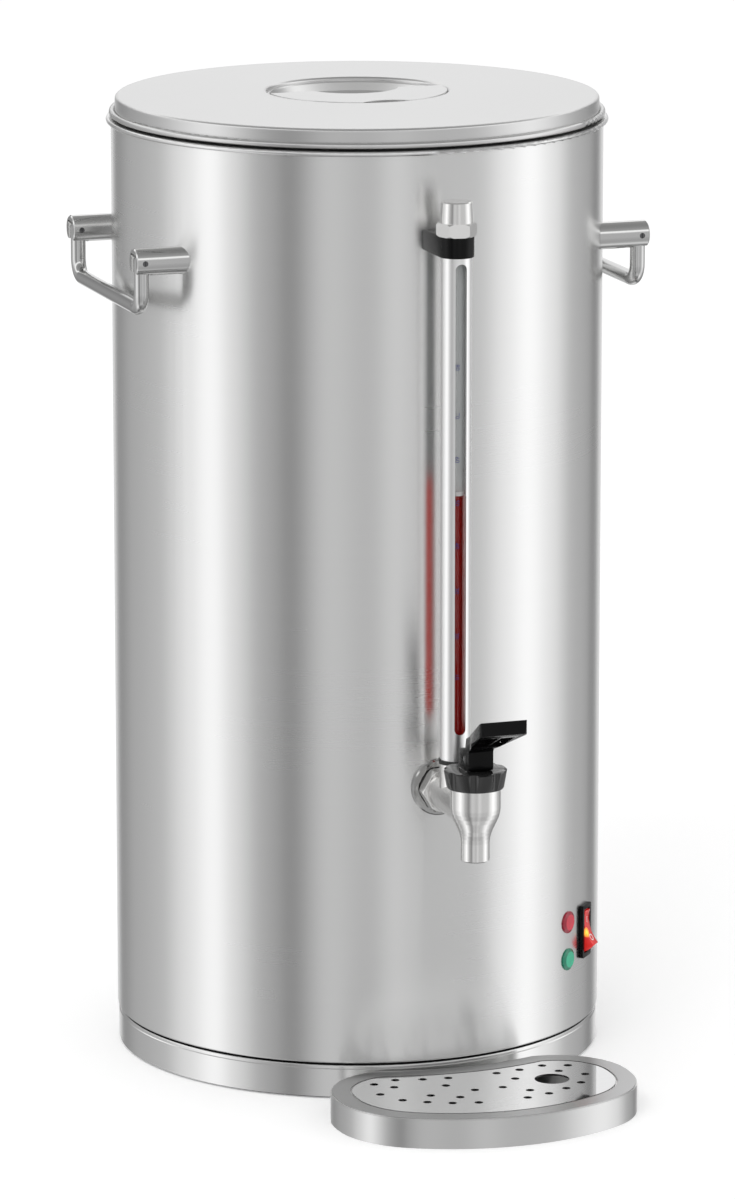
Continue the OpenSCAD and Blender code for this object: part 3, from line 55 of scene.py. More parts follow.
class Wire:
    """One output in a material's node tree; arithmetic on it adds Math nodes."""

    def __init__(self, tree, socket=None):
        self.tree = tree
        self.socket = socket

    def node(self, kind, settings=None, inputs=None, output=0):
        """Adds a node with its settings, a ramp's stops among them, then its sockets' values or links."""
        made = self.tree.nodes.new(kind)
        for name, value in (settings or {}).items():
            if name == "stops":
                row = made.color_ramp.elements
                row[0].position, row[1].position = value[0][0], value[-1][0]
                for middle in value[1:-1]:
                    row.new(middle[0])
                for stop, (place, tone) in zip(row, value):
                    stop.color = tone
            elif name == "blend":
                made.color_ramp.interpolation = value
            else:
                setattr(made, name, value)
        for name, value in (inputs or {}).items():
            if isinstance(value, Wire):
                self.tree.links.new(value.socket, made.inputs[name])
            else:
                made.inputs[name].default_value = value
        return Wire(self.tree, made.outputs[output] if made.outputs else None)

    def maths(self, operation, first, second=0.0):
        return self.node("ShaderNodeMath", {"operation": operation}, {0: first, 1: second})

    def __add__(self, other):
        return self.maths("ADD", self, other)

    __radd__ = __add__

    def __sub__(self, other):
        return self.maths("SUBTRACT", self, other)

    def __rsub__(self, other):
        return self.maths("SUBTRACT", other, self)

    def __mul__(self, other):
        return self.maths("MULTIPLY", self, other)

    __rmul__ = __mul__

    def __truediv__(self, other):
        return self.maths("DIVIDE", self, other)

    def __pow__(self, other):
        return self.maths("POWER", self, other)


def new_finish(name):
    """An empty material and the wire that its nodes are hung on."""
    material = bpy.data.materials.new(name)
    material.use_nodes = True
    material.node_tree.nodes.clear()
    return material, Wire(material.node_tree)


def place_of(wire):
    """The place on the piece, in metres on the urn's own axes."""
    return wire.node("ShaderNodeTexCoord", output="Object")


def along(wire, vector, axis):
    """One coordinate of a vector."""
    return wire.node("ShaderNodeSeparateXYZ", {}, {0: vector}, output=axis)


def grey(level):
    """A grey as a colour with its alpha."""
    return (level, level, level, 1.0)


def grain(wire, vector, scale, detail=2.0):
    """Soft noise from 0 to 1 about 0.5."""
    return wire.node("ShaderNodeTexNoise", {}, {"Vector": vector, "Scale": scale, "Detail": detail})


def tint(wire, share, first, second):
    """The colour between two colours at a share from 0 to 1."""
    return wire.node("ShaderNodeMix", {"data_type": "RGBA"}, {0: share, 6: first, 7: second}, output=2)


def relief(wire, height, strength, depth):
    """The surface's tilt where a height of 1 stands for a depth in metres."""
    return wire.node("ShaderNodeBump", {}, {"Height": height, "Strength": strength, "Distance": depth})


def close_finish(wire, **sockets):
    """Puts the sockets on a Principled shader and joins it to the material's output."""
    names = {name.replace("_", " "): value for name, value in sockets.items()}
    shader = wire.node("ShaderNodeBsdfPrincipled", {}, names)
    wire.node("ShaderNodeOutputMaterial", {}, {"Surface": shader})


def give(material, *names):
    """Puts a material on CAD nodes."""
    for name in names:
        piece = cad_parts[name]
        piece.data.materials.clear()
        piece.data.materials.append(material)


def girth_lines(wire, centre_y):
    """The turn round an upright axis, from the tap's side, and the height."""
    place = place_of(wire)
    turn = wire.maths("ARCTAN2", along(wire, place, "X"), (along(wire, place, "Y") - centre_y) * -1.0)
    return turn, along(wire, place, "Z")


def brushed_round(name, tone, rough, draw_out, centre_y=0.0, lines=1.0, seam=False, top=None, painted_dark_tone=0.05):
    """Steel brushed round an upright axis: long fine scratches, with a slow cloud in the polish.

    draw_out is how far mirror images are drawn out across the scratches, lines how plain the scratches
    are, and seam adds the weld at the back. Above the height top, where one is given, the steel is
    painted as dark as its given tone: painted shade in the base ring's groove, and a painted darker
    reflection on the tray's polished rim."""
    material, wire = new_finish(name)
    turn, z = girth_lines(wire, centre_y)
    brushing = wire.node("ShaderNodeCombineXYZ", {}, {0: turn * scratches_round, 1: z * scratches_up})
    scratches = grain(wire, brushing, 1.0, 0.0)
    cloud = grain(wire, place_of(wire), 9.0, 2.0)
    dark = tuple(0.994 * part for part in tone) + (1.0,)
    light = tuple(min(1.0, 1.006 * part) for part in tone) + (1.0,)
    colour = tint(wire, scratches, dark, light)
    polish = rough + (scratches - 0.5) * 0.008 * lines + (cloud - 0.5) * 0.02
    height = scratches
    if seam:
        across = wire.maths("ABSOLUTE", (math.pi - wire.maths("ABSOLUTE", turn)) * urn_radius)
        weld = wire.maths("SMOOTH_MIN", wire.maths("MAXIMUM", 1.0 - across / weld_half_width, 0.0), 1.0)
        beads = wire.node("ShaderNodeTexWave", {"wave_type": "BANDS", "bands_direction": "Z"},
                          {"Vector": place_of(wire), "Scale": 180.0, "Distortion": 1.5})
        colour = tint(wire, weld * 0.45, colour, heat_tint)
        polish = polish + weld * 0.15
        height = height + weld * (weld_rise + bead_rise * beads)
    # Painted dark above the height top: painted shade in the base ring's groove, a painted darker reflection
    # on the tray's polished rim.
    if top:
        colour = tint(wire, wire.maths("GREATER_THAN", z, top), colour, grey(painted_dark_tone))
    close_finish(wire, Base_Color=colour, Metallic=1.0, Roughness=polish, Anisotropic=draw_out,
                 Anisotropic_Rotation=0.25, Normal=relief(wire, height, 0.0012 * lines, 0.00001))
    return material


shell_steel = brushed_round("brushed_shell", (0.74, 0.74, 0.735), 0.27, 0.75, seam=True)
give(shell_steel, "outer_shell")

# Base ring, bottom plate and foot: a deep-drawn ring under the shell, with a groove at its top whose
# steel is painted near-black as painted shade, a pressed zinc-plated cover that three threaded rods
# and their nuts pull up, and the rubber ring that the urn stands on.
groove_foot = 0.0189
# The steel above groove_foot is painted near-black, a painted shade in the groove.
base_steel = brushed_round("satin_base", (0.72, 0.72, 0.715), 0.24, 0.7, top=groove_foot)
give(base_steel, "base_ring")


def plated(name, tone, rough):
    """Zinc-plated steel: a fine bright spangle in a grey coat, with dull clouds."""
    material, wire = new_finish(name)
    spangle = wire.node("ShaderNodeTexVoronoi", {}, {"Vector": place_of(wire), "Scale": 700.0},
                        output="Distance")
    cloud = grain(wire, place_of(wire), 60.0, 4.0)
    dark = tuple(0.8 * part for part in tone) + (1.0,)
    colour = tint(wire, cloud * 0.7 + spangle * 0.3, dark, tone + (1.0,))
    close_finish(wire, Base_Color=colour, Metallic=1.0, Roughness=rough + (cloud - 0.5) * 0.25,
                 Normal=relief(wire, cloud, 0.1, 0.00005))
    return material


zinc = plated("zinc_coat", (0.60, 0.61, 0.62), 0.38)
give(zinc, "base_plate", "tie_rods", "tie_rod_nuts")


def soft_black(name, tone, rough, scale, depth):
    """Rubber or silicone: matte, with a fine open grain and a dusty bloom."""
    material, wire = new_finish(name)
    pores = grain(wire, place_of(wire), scale, 3.0)
    bloom = grain(wire, place_of(wire), 90.0, 2.0)
    pale = tuple(min(1.0, 1.7 * part + 0.004) for part in tone) + (1.0,)
    colour = tint(wire, bloom * 0.6, tone + (1.0,), pale)
    close_finish(wire, Base_Color=colour, Roughness=rough + (pores - 0.5) * 0.15,
                 Normal=relief(wire, pores, 0.35, depth))
    return material


rubber = soft_black("black_rubber", (0.018, 0.018, 0.018), 0.68, 1500.0, 0.00008)
give(rubber, "foot_ring")

# Inner vessel: drawn from stainless sheet with a well in its floor, its rim rolled over the shell
# into a bead. Inside it is left as drawn, so it shows faint rings and a satin gloss.
vessel_steel = brushed_round("vessel_steel", (0.73, 0.73, 0.725), 0.30, 0.45, lines=0.7)
give(vessel_steel, "inner_vessel")

# Heaters and wiring under the vessel: a cast aluminium block round the well, a brazed keep-warm
# tube, two snap-disc thermostats, a steatite terminal block and rubber-covered leads.
cast_metal, wire = new_finish("cast_block")
sand = grain(wire, place_of(wire), 900.0, 4.0)
stain = grain(wire, place_of(wire), 45.0, 3.0)
close_finish(wire, Base_Color=tint(wire, stain, (0.33, 0.33, 0.32, 1.0), (0.55, 0.55, 0.54, 1.0)),
             Metallic=1.0, Roughness=0.5 + (sand - 0.5) * 0.3, Normal=relief(wire, sand, 0.5, 0.00015))
give(cast_metal, "heater_block", "warm_ring")

steatite, wire = new_finish("steatite")
glaze = grain(wire, place_of(wire), 420.0, 3.0)
close_finish(wire, Base_Color=tint(wire, glaze, (0.70, 0.67, 0.58, 1.0), (0.84, 0.82, 0.75, 1.0)),
             Roughness=0.45 + (glaze - 0.5) * 0.2, Normal=relief(wire, glaze, 0.2, 0.0001))
give(steatite, "terminal_block")

lead_cover, wire = new_finish("lead_cover")
weave = wire.node("ShaderNodeTexChecker", {}, {"Vector": place_of(wire), "Scale": 1400.0}, output="Fac")
slub = grain(wire, place_of(wire), 300.0, 3.0)
lead_brown = tint(wire, weave * 0.4 + slub * 0.6, (0.20, 0.08, 0.03, 1.0), (0.36, 0.17, 0.07, 1.0))
close_finish(wire, Base_Color=lead_brown, Roughness=0.75 + (slub - 0.5) * 0.2,
             Normal=relief(wire, weave, 0.3, 0.0001))
give(lead_cover, "wiring")


def moulded_black(name, tone, rough, pebble, sheen=0.14):
    """Black moulding: a fine spark-eroded pebble, with a slow flow in its gloss."""
    material, wire = new_finish(name)
    skin = grain(wire, place_of(wire), 1900.0, 2.0)
    flow = grain(wire, place_of(wire), 70.0, 2.0)
    pale = tuple(1.5 * part + 0.002 for part in tone) + (1.0,)
    colour = tint(wire, flow * 0.5 + skin * 0.3, tone + (1.0,), pale)
    close_finish(wire, Base_Color=colour, Roughness=rough + (flow - 0.5) * 0.08, Specular_IOR_Level=sheen,
                 Normal=relief(wire, skin, pebble, 0.00006))
    return material


black_plastic = moulded_black("black_moulding", (0.002, 0.002, 0.0022), 0.15, 0.05)
give(black_plastic, "brew_thermostat", "boil_dry_cutout")

# Cord gland at the back: a moulded black gland, screwed through the shell and held by a nut
# inside. The cord that goes through it isn't part of this model.
give(black_plastic, "cord_gland", "gland_nut")

# Handles: turned steel posts on contoured saddles, screwed on from inside the jacket, and an 8 mm
# rod bent to a U that hangs in the posts' slots on slotted pivot screws. All satin polished.


def buffed(name, tone, rough):
    """Buffed steel or satin chrome: a fine even haze with faint polishing swirls."""
    material, wire = new_finish(name)
    haze = grain(wire, place_of(wire), 1300.0, 2.0)
    swirl = grain(wire, place_of(wire), 60.0, 2.0)
    dark = tuple(0.97 * part for part in tone) + (1.0,)
    close_finish(wire, Base_Color=tint(wire, swirl, dark, tone + (1.0,)), Metallic=1.0,
                 Roughness=rough + (swirl - 0.5) * 0.03, Normal=relief(wire, haze, 0.02, 0.00002))
    return material


handle_steel = buffed("buffed_handles", (0.60, 0.60, 0.595), 0.10)
give(handle_steel, "left_posts", "right_posts", "post_saddles", "left_bail", "right_bail")
give(zinc, "post_screws")
# The pivot screws are painted dark grey, a painted shade for the gap round their heads.
give(plated("painted_shade_screws", (0.16, 0.16, 0.165), 0.35), "pivot_screws")

# Sight gauge: a glass tube standing in the tap's socket, guarded by a slotted steel tube that a
# moulded clamp holds off the shell, and closed by a hexagonal head with a screwed cleaning cap.
gauge_y = -0.161
drink_top = 0.3402
meniscus_top = 0.3424
column_radius = 0.00375
ridge_angle, crease_angle = math.radians(32), math.radians(38)


def eased_copy(name, body, material, width, steps=2, flat=2.0):
    """A copy of a CAD node with its triangles merged and its sharp edges rounded; it replaces the node.

    width is how far a round reaches from its edge, steps the faces in it, and flat the angle up to
    which triangles become one face."""
    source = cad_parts[name]
    mesh = source.data.copy()
    form = bmesh.new()
    form.from_mesh(mesh)
    bmesh.ops.remove_doubles(form, verts=form.verts, dist=2e-6)
    bmesh.ops.dissolve_limit(form, angle_limit=math.radians(flat), use_dissolve_boundaries=False,
                             verts=form.verts, edges=form.edges)
    ridges = [edge for edge in form.edges if len(edge.link_faces) == 2
              and edge.calc_face_angle(0.0) > ridge_angle]
    rounds = set()
    if width > 0:
        made = bmesh.ops.bevel(form, geom=ridges, affect="EDGES", offset=width, offset_type="OFFSET",
                               segments=steps, profile=0.5, material=-1, clamp_overlap=True, loop_slide=True)
        rounds = set(made["faces"])
    # A face with rounds on all its sides is shaded flat, so that it shows no gradient.
    for face in form.faces:
        beside = {other for edge in face.edges for other in edge.link_faces if other is not face}
        face.smooth = face in rounds or not beside <= rounds
    for edge in form.edges:
        edge.smooth = len(edge.link_faces) < 2 or edge.calc_face_angle(0.0) < crease_angle
    form.to_mesh(mesh)
    form.free()
    # The normals that came with the CAD node no longer fit its merged faces.
    if mesh.attributes.get("custom_normal"):
        mesh.attributes.remove(mesh.attributes["custom_normal"])
    piece = bpy.data.objects.new(name + "_finished", mesh)
    bpy.context.collection.objects.link(piece)
    mesh.materials.clear()
    mesh.materials.append(material)
    if body:
        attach(piece, body)
    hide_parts(name)
    return piece


give(zinc, "bracket_screws")
eased_copy("gauge_bracket", "urn", black_plastic, 0.0006, steps=3)
shield_steel = brushed_round("shield_steel", (0.90, 0.90, 0.895), 0.34, 0.0, centre_y=gauge_y, lines=0.5)
give(shield_steel, "gauge_shield")

# Light is painted on the glass: below the drink its colour is near-black, a painted shade, and above it pale
# grey and a third opaque, a painted reflection in the empty tube. It grows denser where seen edge-on, a
# painted reflection at its edges, and a band at the meniscus is denser still, a painted glint off the drink's
# top.
clear_glass, wire = new_finish("clear_glass")
ripple = grain(wire, place_of(wire), 160.0, 2.0)
painted_edge_reflection = wire.node("ShaderNodeLayerWeight", {}, {"Blend": 0.30}, output="Facing")
glass_height = along(wire, place_of(wire), "Z")
painted_pale_above_drink = wire.maths("GREATER_THAN", glass_height, drink_top)
painted_meniscus_glint = painted_pale_above_drink - wire.maths("GREATER_THAN", glass_height, meniscus_top)
close_finish(wire, Base_Color=tint(wire, painted_pale_above_drink, (0.02, 0.01, 0.01, 1.0), (0.64, 0.66, 0.66, 1.0)), IOR=1.47,
             Roughness=0.03 + ripple * 0.02, Alpha=0.05 + painted_edge_reflection * 0.25 + painted_pale_above_drink * 0.30 + painted_meniscus_glint * 0.30)
give(clear_glass, "gauge_glass")

brew_colour, wire = new_finish("brewed_drink")
depth_cloud = grain(wire, place_of(wire), 120.0, 2.0)
across = along(wire, place_of(wire), "X") / column_radius
inwards = (along(wire, place_of(wire), "Y") - gauge_y) / column_radius
# A painted glow on the drink, faint all round and brighter towards the urn.
painted_glow = tint(wire, wire.maths("MAXIMUM", inwards, 0.0), (0.05, 0.001, 0.001, 1.0), (0.45, 0.025, 0.015, 1.0))
# depth mixes a random cloud with painted shade, lighter on the left and darker on the right.
depth = depth_cloud * 0.3 + 0.35 - across * 0.35
close_finish(wire, Base_Color=tint(wire, depth, (0.06, 0.001, 0.001, 1.0), (0.30, 0.010, 0.006, 1.0)),
             Roughness=0.08 + depth_cloud * 0.04, Emission_Color=painted_glow, Emission_Strength=1.0)
give(brew_colour, "gauge_liquid")
give(rubber, "gauge_foot_seal", "gauge_head_seal")

chrome = buffed("satin_chrome", (0.78, 0.775, 0.765), 0.17)
eased_copy("gauge_head", "urn", chrome, 0.00025)
give(chrome, "gauge_cap")

# Scale of the gauge: plain numbers printed in blue on the glass, tens of cups, turned so that they
# read upwards. Each is flat type bent round the tube.
print_radius = 0.00503
print_size = 0.0034
print_turn = math.radians(-13)
print_blue, wire = new_finish("printed_marks")
ink = grain(wire, place_of(wire), 2200.0, 2.0)
close_finish(wire, Base_Color=tint(wire, ink, (0.012, 0.016, 0.12, 1.0), (0.03, 0.04, 0.22, 1.0)),
             Roughness=0.45 + ink * 0.1)
mark_places = [(0.4097, "80"), (0.3836, "70"), (0.3599, "60"), (0.3366, "50"),
               (0.3133, "40"), (0.2888, "30"), (0.2642, "20"), (0.2418, "10")]
marks = bmesh.new()
for mark_height, label in mark_places:
    curve = bpy.data.curves.new("mark_" + label, "FONT")
    curve.body = label
    curve.size = print_size
    curve.align_x, curve.align_y = "CENTER", "CENTER"
    curve.resolution_u = 3
    letters = bpy.data.objects.new("mark_" + label, curve)
    bpy.context.collection.objects.link(letters)
    bpy.context.view_layer.update()
    flat = bpy.data.meshes.new_from_object(letters.evaluated_get(bpy.context.evaluated_depsgraph_get()))
    bpy.data.objects.remove(letters)
    for point in flat.vertices:
        turn = print_turn + point.co.y / print_radius
        point.co = Vector((print_radius * math.sin(turn), gauge_y - print_radius * math.cos(turn),
                           mark_height - point.co.x))
    marks.from_mesh(flat)
    bpy.data.meshes.remove(flat)
scale_mesh = bpy.data.meshes.new("scale_marks")
marks.to_mesh(scale_mesh)
marks.free()
scale_marks = bpy.data.objects.new("scale_marks", scale_mesh)
bpy.context.collection.objects.link(scale_marks)
scale_mesh.materials.append(print_blue)
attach(scale_marks, "urn")

# Tap: a cast and chromed body whose shank goes through both walls, with a collar, rubber rings,
# a sleeve and two nuts; a fluted bonnet closes the valve over its spring, stem and seat cup. The
# spring stands between the bonnet and the stem, and is kept here as one fixed piece.
eased_copy("tap_collar", "urn", buffed("polished_collar", (0.42, 0.42, 0.415), 0.10), 0.0)
eased_copy("tap_nut", "urn", chrome, 0.0003)
give(chrome, "tap_lock_nut", "valve_stem", "tap_body")
give(rubber, "tap_outer_seal", "tap_inner_seal")
give(zinc, "jacket_spacer", "lever_pin")
coils = eased_copy("tap_spring", None, zinc, 0.0, flat=0.1)
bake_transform(coils)
silicone = soft_black("silicone", (0.62, 0.62, 0.58), 0.5, 900.0, 0.00005)
give(silicone, "seat_cup")
bonnet_black = moulded_black("bonnet_moulding", (0.012, 0.012, 0.012), 0.14, 0.04, sheen=0.6)
eased_copy("tap_bonnet", "urn", bonnet_black, 0.0003)

# Lever: a black moulding with a hollow, ribbed paddle, pinned to the stem so that its block rocks
# on the bonnet; its edges are rounded and catch the light.
eased_copy("tap_lever", "lever", black_plastic, 0.0005, steps=3)

# Rocker switch: a snap-in frame with a red cap over its lamp, which rocks on two trunnions. The
# plain marks for on and off are printed on the cap's hollow face.
switch_turn, rocker_tilt = math.radians(49.6), math.radians(75)
rocker_pivot = (0.0, -0.1325, 0.0724)
rocker_frame = (Matrix.Rotation(switch_turn, 4, "Z") @ Matrix.Translation(rocker_pivot)
                @ Matrix.Rotation(rocker_tilt, 4, "X"))
lamp_spot = tuple(rocker_frame @ Vector((-0.0030, -0.0018, 0.0055)))
lamp_reach = 0.0030
lamp_amber = (9.0, 5.0, 0.4, 1.0)
lens_bevel_start, lens_bevel_width = 0.0045, 0.0005
hollow_radius, hollow_centre = 0.0204, 0.02555
off_ring_radii, off_ring_y = (0.0019, 0.0013), -0.0054
on_bar_reach, on_bar_slimness, on_bar_y = 0.0017, 0.18, 0.0050
eased_copy("switch_frame", "urn", black_plastic, 0.0003)


def away_from(wire, spot):
    """The distance from a spot on the piece."""
    return wire.node("ShaderNodeVectorMath", {"operation": "DISTANCE"}, {0: place_of(wire), 1: spot},
                     output="Value")


def lit_plastic(name, tone, painted_shade_tone, glow, level, spot=None, face=None):
    """Tinted clear plastic over a lamp, with a little of its own light, and painted shade where seen edge-on.

    spot is where the lamp shows through, and face the middle of a lens whose bevel gets painted shade."""
    material, wire = new_finish(name)
    glow = glow + (1.0,)
    if spot:
        near = wire.maths("MAXIMUM", 1.0 - away_from(wire, spot) / lamp_reach, 0.0) ** 0.7
        glow = tint(wire, near, glow, lamp_amber)
    body = grain(wire, place_of(wire), 260.0, 2.0)
    # Painted shade: the colour turns to the deep tone where the plastic is seen edge-on.
    edge = wire.node("ShaderNodeLayerWeight", {}, {"Blend": 0.35}, output="Facing")
    colour = tint(wire, body * 0.4 + edge * 0.5, tone + (1.0,), painted_shade_tone + (1.0,))
    # Painted shade on the lens's bevel, past the edge of its face.
    if face:
        past_face = (away_from(wire, face) - lens_bevel_start) / lens_bevel_width
        bevel = wire.maths("MINIMUM", wire.maths("MAXIMUM", past_face, 0.0), 1.0)
        colour = tint(wire, bevel * 0.85, colour, painted_shade_tone + (1.0,))
    close_finish(wire, Base_Color=colour, Roughness=0.16 + (body - 0.5) * 0.05, Coat_Weight=0.4,
                 Emission_Color=glow, Emission_Strength=level)
    return material


rocker_red = lit_plastic("rocker_red", (0.85, 0.012, 0.012), (0.42, 0.003, 0.006), (0.9, 0.03, 0.02), 0.20,
                         spot=lamp_spot)
eased_copy("switch_rocker", "rocker", rocker_red, 0.0003)
mark_white, wire = new_finish("switch_marks")
print_wear = grain(wire, place_of(wire), 1800.0, 2.0)
close_finish(wire, Base_Color=tint(wire, print_wear, (0.80, 0.78, 0.76, 1.0), (0.92, 0.90, 0.88, 1.0)),
             Roughness=0.4 + print_wear * 0.1)
symbols = bmesh.new()
for radius in off_ring_radii:
    bmesh.ops.create_circle(symbols, cap_ends=False, segments=32, radius=radius,
                            matrix=Matrix.Translation((0.0, off_ring_y, 0.0)))
bmesh.ops.bridge_loops(symbols, edges=symbols.edges)
slim = Matrix.Diagonal((on_bar_slimness, 1.0, 1.0, 1.0))
bmesh.ops.create_grid(symbols, x_segments=1, y_segments=4, size=on_bar_reach,
                      matrix=Matrix.Translation((0.0, on_bar_y, 0.0)) @ slim)
symbols.normal_update()
for face in symbols.faces:
    if face.normal.z < 0:
        face.normal_flip()
for point in symbols.verts:
    point.co.z = hollow_centre - math.sqrt(hollow_radius ** 2 - point.co.y ** 2)
    point.co = rocker_frame @ point.co
symbol_mesh = bpy.data.meshes.new("switch_symbols")
symbols.to_mesh(symbol_mesh)
symbols.free()
switch_symbols = bpy.data.objects.new("switch_symbols", symbol_mesh)
bpy.context.collection.objects.link(switch_symbols)
symbol_mesh.materials.append(mark_white)
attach(switch_symbols, "rocker")

# Pilot lights: two neon lamps in moulded lenses with a bevelled edge, red above green, each held
# by a nut behind the shell.
light_turn = math.radians(40.5)
light_x, light_y = urn_radius * math.sin(light_turn), -urn_radius * math.cos(light_turn)
red_height, green_height = 0.0820, 0.0608
red_lens = lit_plastic("red_lens", (0.85, 0.012, 0.045), (0.08, 0.0, 0.008), (0.9, 0.03, 0.08), 0.14,
                       face=(light_x, light_y, red_height))
green_lens = lit_plastic("green_lens", (0.02, 0.66, 0.36), (0.0, 0.05, 0.03), (0.04, 0.6, 0.36), 0.14,
                         face=(light_x, light_y, green_height))
give(red_lens, "red_light")
give(green_lens, "green_light")
give(zinc, "light_nuts")

# Brewing parts inside the vessel: the pump tube with its bell, the perforated basket on its collar
# and the perforated spreader, all drawn from thin stainless sheet.
satin = brushed_round("satin_steel", (0.74, 0.74, 0.735), 0.30, 0.0, lines=0.6)
give(satin, "riser_tube", "filter_basket", "basket_spreader")

# Lid: a crowned, spun stainless lid with a rolled bead, a finger recess, a grip plate flush with
# its top, and underneath the centring ring and its soft seal.
# The lid's steel is given a darker grey than the shell's, a painted shade that keeps its top from shining
# brighter under the overhead light.
lid_steel = brushed_round("satin_lid", (0.64, 0.64, 0.636), 0.30, 0.0, lines=0.8)
give(lid_steel, "lid_shell", "lid_cup", "lid_ring")
give(rubber, "lid_seal")
eased_copy("grip_plate", "lid", lid_steel, 0.0002)

# Drip tray: pressed stainless with a folded rim, hollowed to the urn's foot, and a polished plate
# with drain holes that drops into its rim. The rim's top is polished and painted a darker grey, a
# painted reflection.
tray_centre_y = -0.185
rim_top = 0.0162
# Above rim_top the steel is painted a darker grey, a painted reflection on the polished rim.
tray_steel = brushed_round("tray_steel", (0.66, 0.66, 0.655), 0.30, 0.5, centre_y=tray_centre_y,
                           top=rim_top, painted_dark_tone=0.42)
eased_copy("drip_tray", "tray", tray_steel, 0.0, flat=0.2)
mirror_plate, wire = new_finish("polished_plate")
wiping = wire.node("ShaderNodeVectorMath", {"operation": "MULTIPLY"},
                   {0: place_of(wire), 1: (30.0, 900.0, 30.0)})
wear = grain(wire, wiping, 1.0, 3.0)
close_finish(wire, Base_Color=tint(wire, wear, grey(0.70), grey(0.76)), Metallic=1.0,
             Roughness=0.015 + wear * 0.015)
give(mirror_plate, "tray_grid")

# Floor of the studio: plain and white, and it keeps the urn's shadow. Metal doesn't mirror it, but
# the surround behind it.
floor_radius = 6.0
floor_form = bmesh.new()
bmesh.ops.create_circle(floor_form, cap_ends=True, segments=96, radius=floor_radius)
floor_mesh = bpy.data.meshes.new("floor")
floor_form.to_mesh(floor_mesh)
floor_form.free()
floor = bpy.data.objects.new("floor", floor_mesh)
bpy.context.collection.objects.link(floor)
floor_white, wire = new_finish("floor_white")
ray = wire.node("ShaderNodeLightPath", output="Is Camera Ray")
metal_ray = wire.node("ShaderNodeLightPath", output="Is Glossy Ray")
paint = wire.node("ShaderNodeBsdfDiffuse", {}, {"Color": tint(wire, ray, grey(0.80), grey(1.0))})
gleam = wire.node("ShaderNodeEmission", {}, {"Color": tint(wire, ray, grey(0.0), grey(0.16))})
paint = wire.node("ShaderNodeAddShader", {}, {0: paint, 1: gleam})
clear = wire.node("ShaderNodeBsdfTransparent")
floor_look = wire.node("ShaderNodeMixShader", {}, {0: metal_ray, 1: paint, 2: clear})
wire.node("ShaderNodeOutputMaterial", {}, {"Surface": floor_look})
floor_mesh.materials.append(floor_white)

# Surround and lamp: white to the eye, and to the steel a ring of tall soft screens, some bright and
# some grey, darker near the floor and overhead. One broad lamp stands over the left shoulder.
facing = math.radians(19)
world = bpy.data.worlds.new("studio")
bpy.context.scene.world = world
world.use_nodes = True
world.node_tree.nodes.clear()
sky = Wire(world.node_tree)
look = sky.node("ShaderNodeTexCoord", output="Generated")
to_camera = (-math.sin(facing), -math.cos(facing), 0.0)
to_right = (math.cos(facing), -math.sin(facing), 0.0)
dot = {"operation": "DOT_PRODUCT"}
ahead = sky.node("ShaderNodeVectorMath", dot, {0: look, 1: to_camera}, output="Value")
aside = sky.node("ShaderNodeVectorMath", dot, {0: look, 1: to_right}, output="Value")
bearing = sky.maths("ARCTAN2", aside, ahead) / (2 * math.pi) + 0.5
# The screens round the urn: degrees from the camera to the viewer's right, and brightness.
screens = [(-180, 1.05), (-168, 0.95), (-154, 0.30), (-128, 0.52), (-108, 0.62), (-90, 1.0), (-72, 1.40),
           (-60, 0.95), (-46, 0.52), (-38, 0.45), (-33, 0.27), (-14, 0.74), (6, 0.60), (18, 0.84), (32, 0.66),
           (58, 0.68), (74, 1.10), (88, 1.42), (104, 1.08), (122, 0.58), (138, 0.48), (151, 0.24),
           (166, 0.90), (180, 1.05)]
stops = [((angle + 180) / 360, (level, level, level * 1.005, 1.0)) for angle, level in screens]
screen = sky.node("ShaderNodeValToRGB", {"stops": stops, "blend": "EASE"}, {0: bearing})
lift = along(sky, look, "Z") * 0.5 + 0.5


def by_height(levels):
    """A grey that follows the height of the look, from 0 straight down to 1 straight up."""
    steps = [(part, grey(level)) for part, level in levels]
    return sky.node("ShaderNodeValToRGB", {"stops": steps, "blend": "EASE"}, {0: lift})


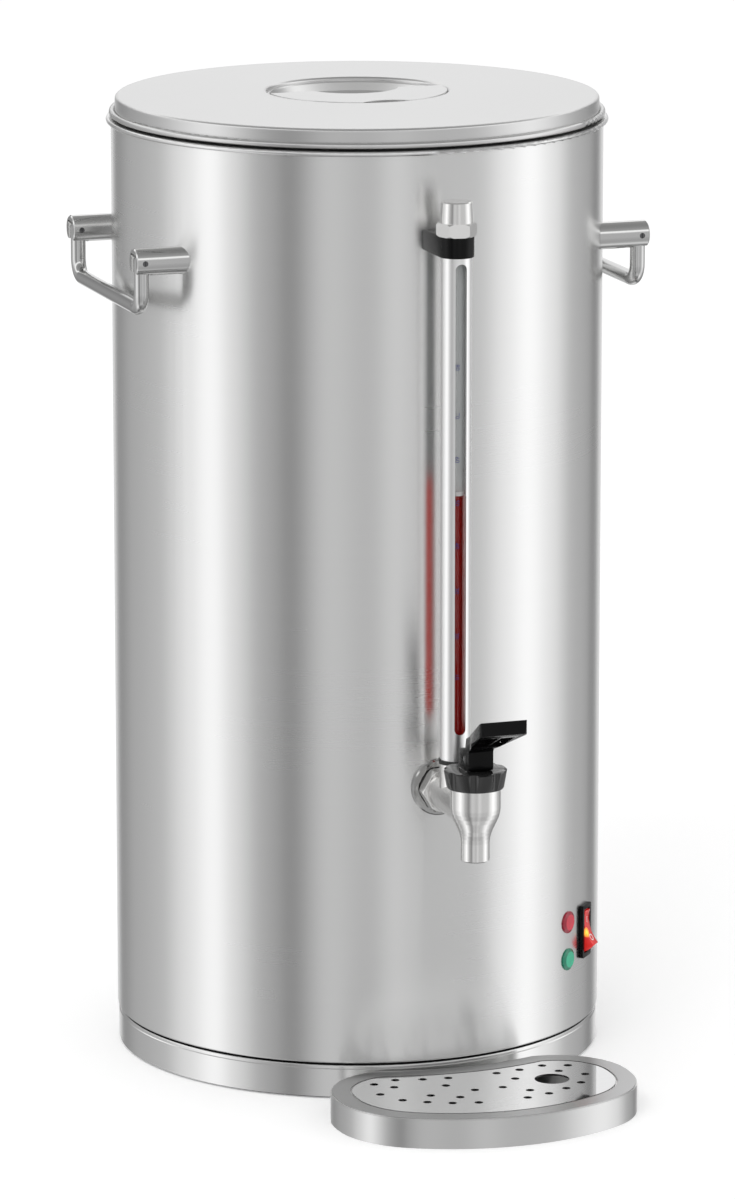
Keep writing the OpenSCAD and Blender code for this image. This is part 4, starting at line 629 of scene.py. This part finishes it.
below = by_height([(0.0, 0.35), (0.025, 0.5), (0.06, 1.0), (0.15, 0.8), (0.275, 0.88), (0.375, 1.0),
                   (1.0, 1.0)])
overhead = by_height([(0.0, 1.5), (0.77, 1.5), (0.83, 0.5), (1.0, 0.34)])
raised = by_height([(0.0, 0.0), (0.66, 0.0), (0.74, 1.0), (1.0, 1.0)])
screen = sky.node("ShaderNodeMix", {"data_type": "RGBA", "blend_type": "MULTIPLY"},
                  {0: 1.0, 6: screen, 7: below}, output=2)
screen = tint(sky, raised, screen, overhead)
seen = sky.node("ShaderNodeLightPath", output="Is Camera Ray")
mirrored = sky.node("ShaderNodeLightPath", output="Is Glossy Ray")
plain = sky.node("ShaderNodeBackground", {}, {"Color": grey(1.0), "Strength": 0.85})
white = sky.node("ShaderNodeBackground", {}, {"Color": grey(1.0), "Strength": 1.0})
banded = sky.node("ShaderNodeBackground", {}, {"Color": screen, "Strength": 1.0})
light = sky.node("ShaderNodeMixShader", {}, {0: mirrored, 1: plain, 2: banded})
surround = sky.node("ShaderNodeMixShader", {}, {0: seen, 1: light, 2: white})
sky.node("ShaderNodeOutputWorld", {}, {"Surface": surround})

lamp_data = bpy.data.lights.new("soft_box", "AREA")
lamp_data.shape = "RECTANGLE"
lamp_data.size, lamp_data.size_y = 1.6, 1.6
lamp_data.energy = 22.0
lamp = bpy.data.objects.new("soft_box", lamp_data)
bpy.context.collection.objects.link(lamp)
lamp.location = (-1.6, -1.8, 2.6)
urn_middle = Vector((0.0, 0.0, 0.25))
lamp.rotation_euler = (urn_middle - lamp.location).to_track_quat("-Z", "Y").to_euler()
lamp.visible_glossy = False

# Camera: a long lens 3.7 m away, to the left of the tap and above the lid, that looks down on the
# urn. The lens is given by the picture's height and the focal length, both in pixels.
picture_height = 1200
focal_pixels = 6707.7
dip, swing = math.radians(12.48), math.radians(0.089)
camera_data = bpy.data.cameras.new("camera")
camera_data.sensor_fit = "VERTICAL"
camera_data.angle = 2 * math.atan(picture_height / 2 / focal_pixels)
camera_data.clip_start, camera_data.clip_end = 0.1, 50.0
camera = bpy.data.objects.new("camera", camera_data)
bpy.context.collection.objects.link(camera)
camera.location = (-1.1871, -3.4477, 1.0561)
forward = Vector((math.sin(swing) * math.cos(dip), math.cos(swing) * math.cos(dip), -math.sin(dip)))
forward = Matrix.Rotation(-facing, 3, "Z") @ forward
camera.rotation_euler = forward.to_track_quat("-Z", "Y").to_euler()
bpy.context.scene.camera = camera
bpy.context.scene.view_settings.view_transform = "Standard"
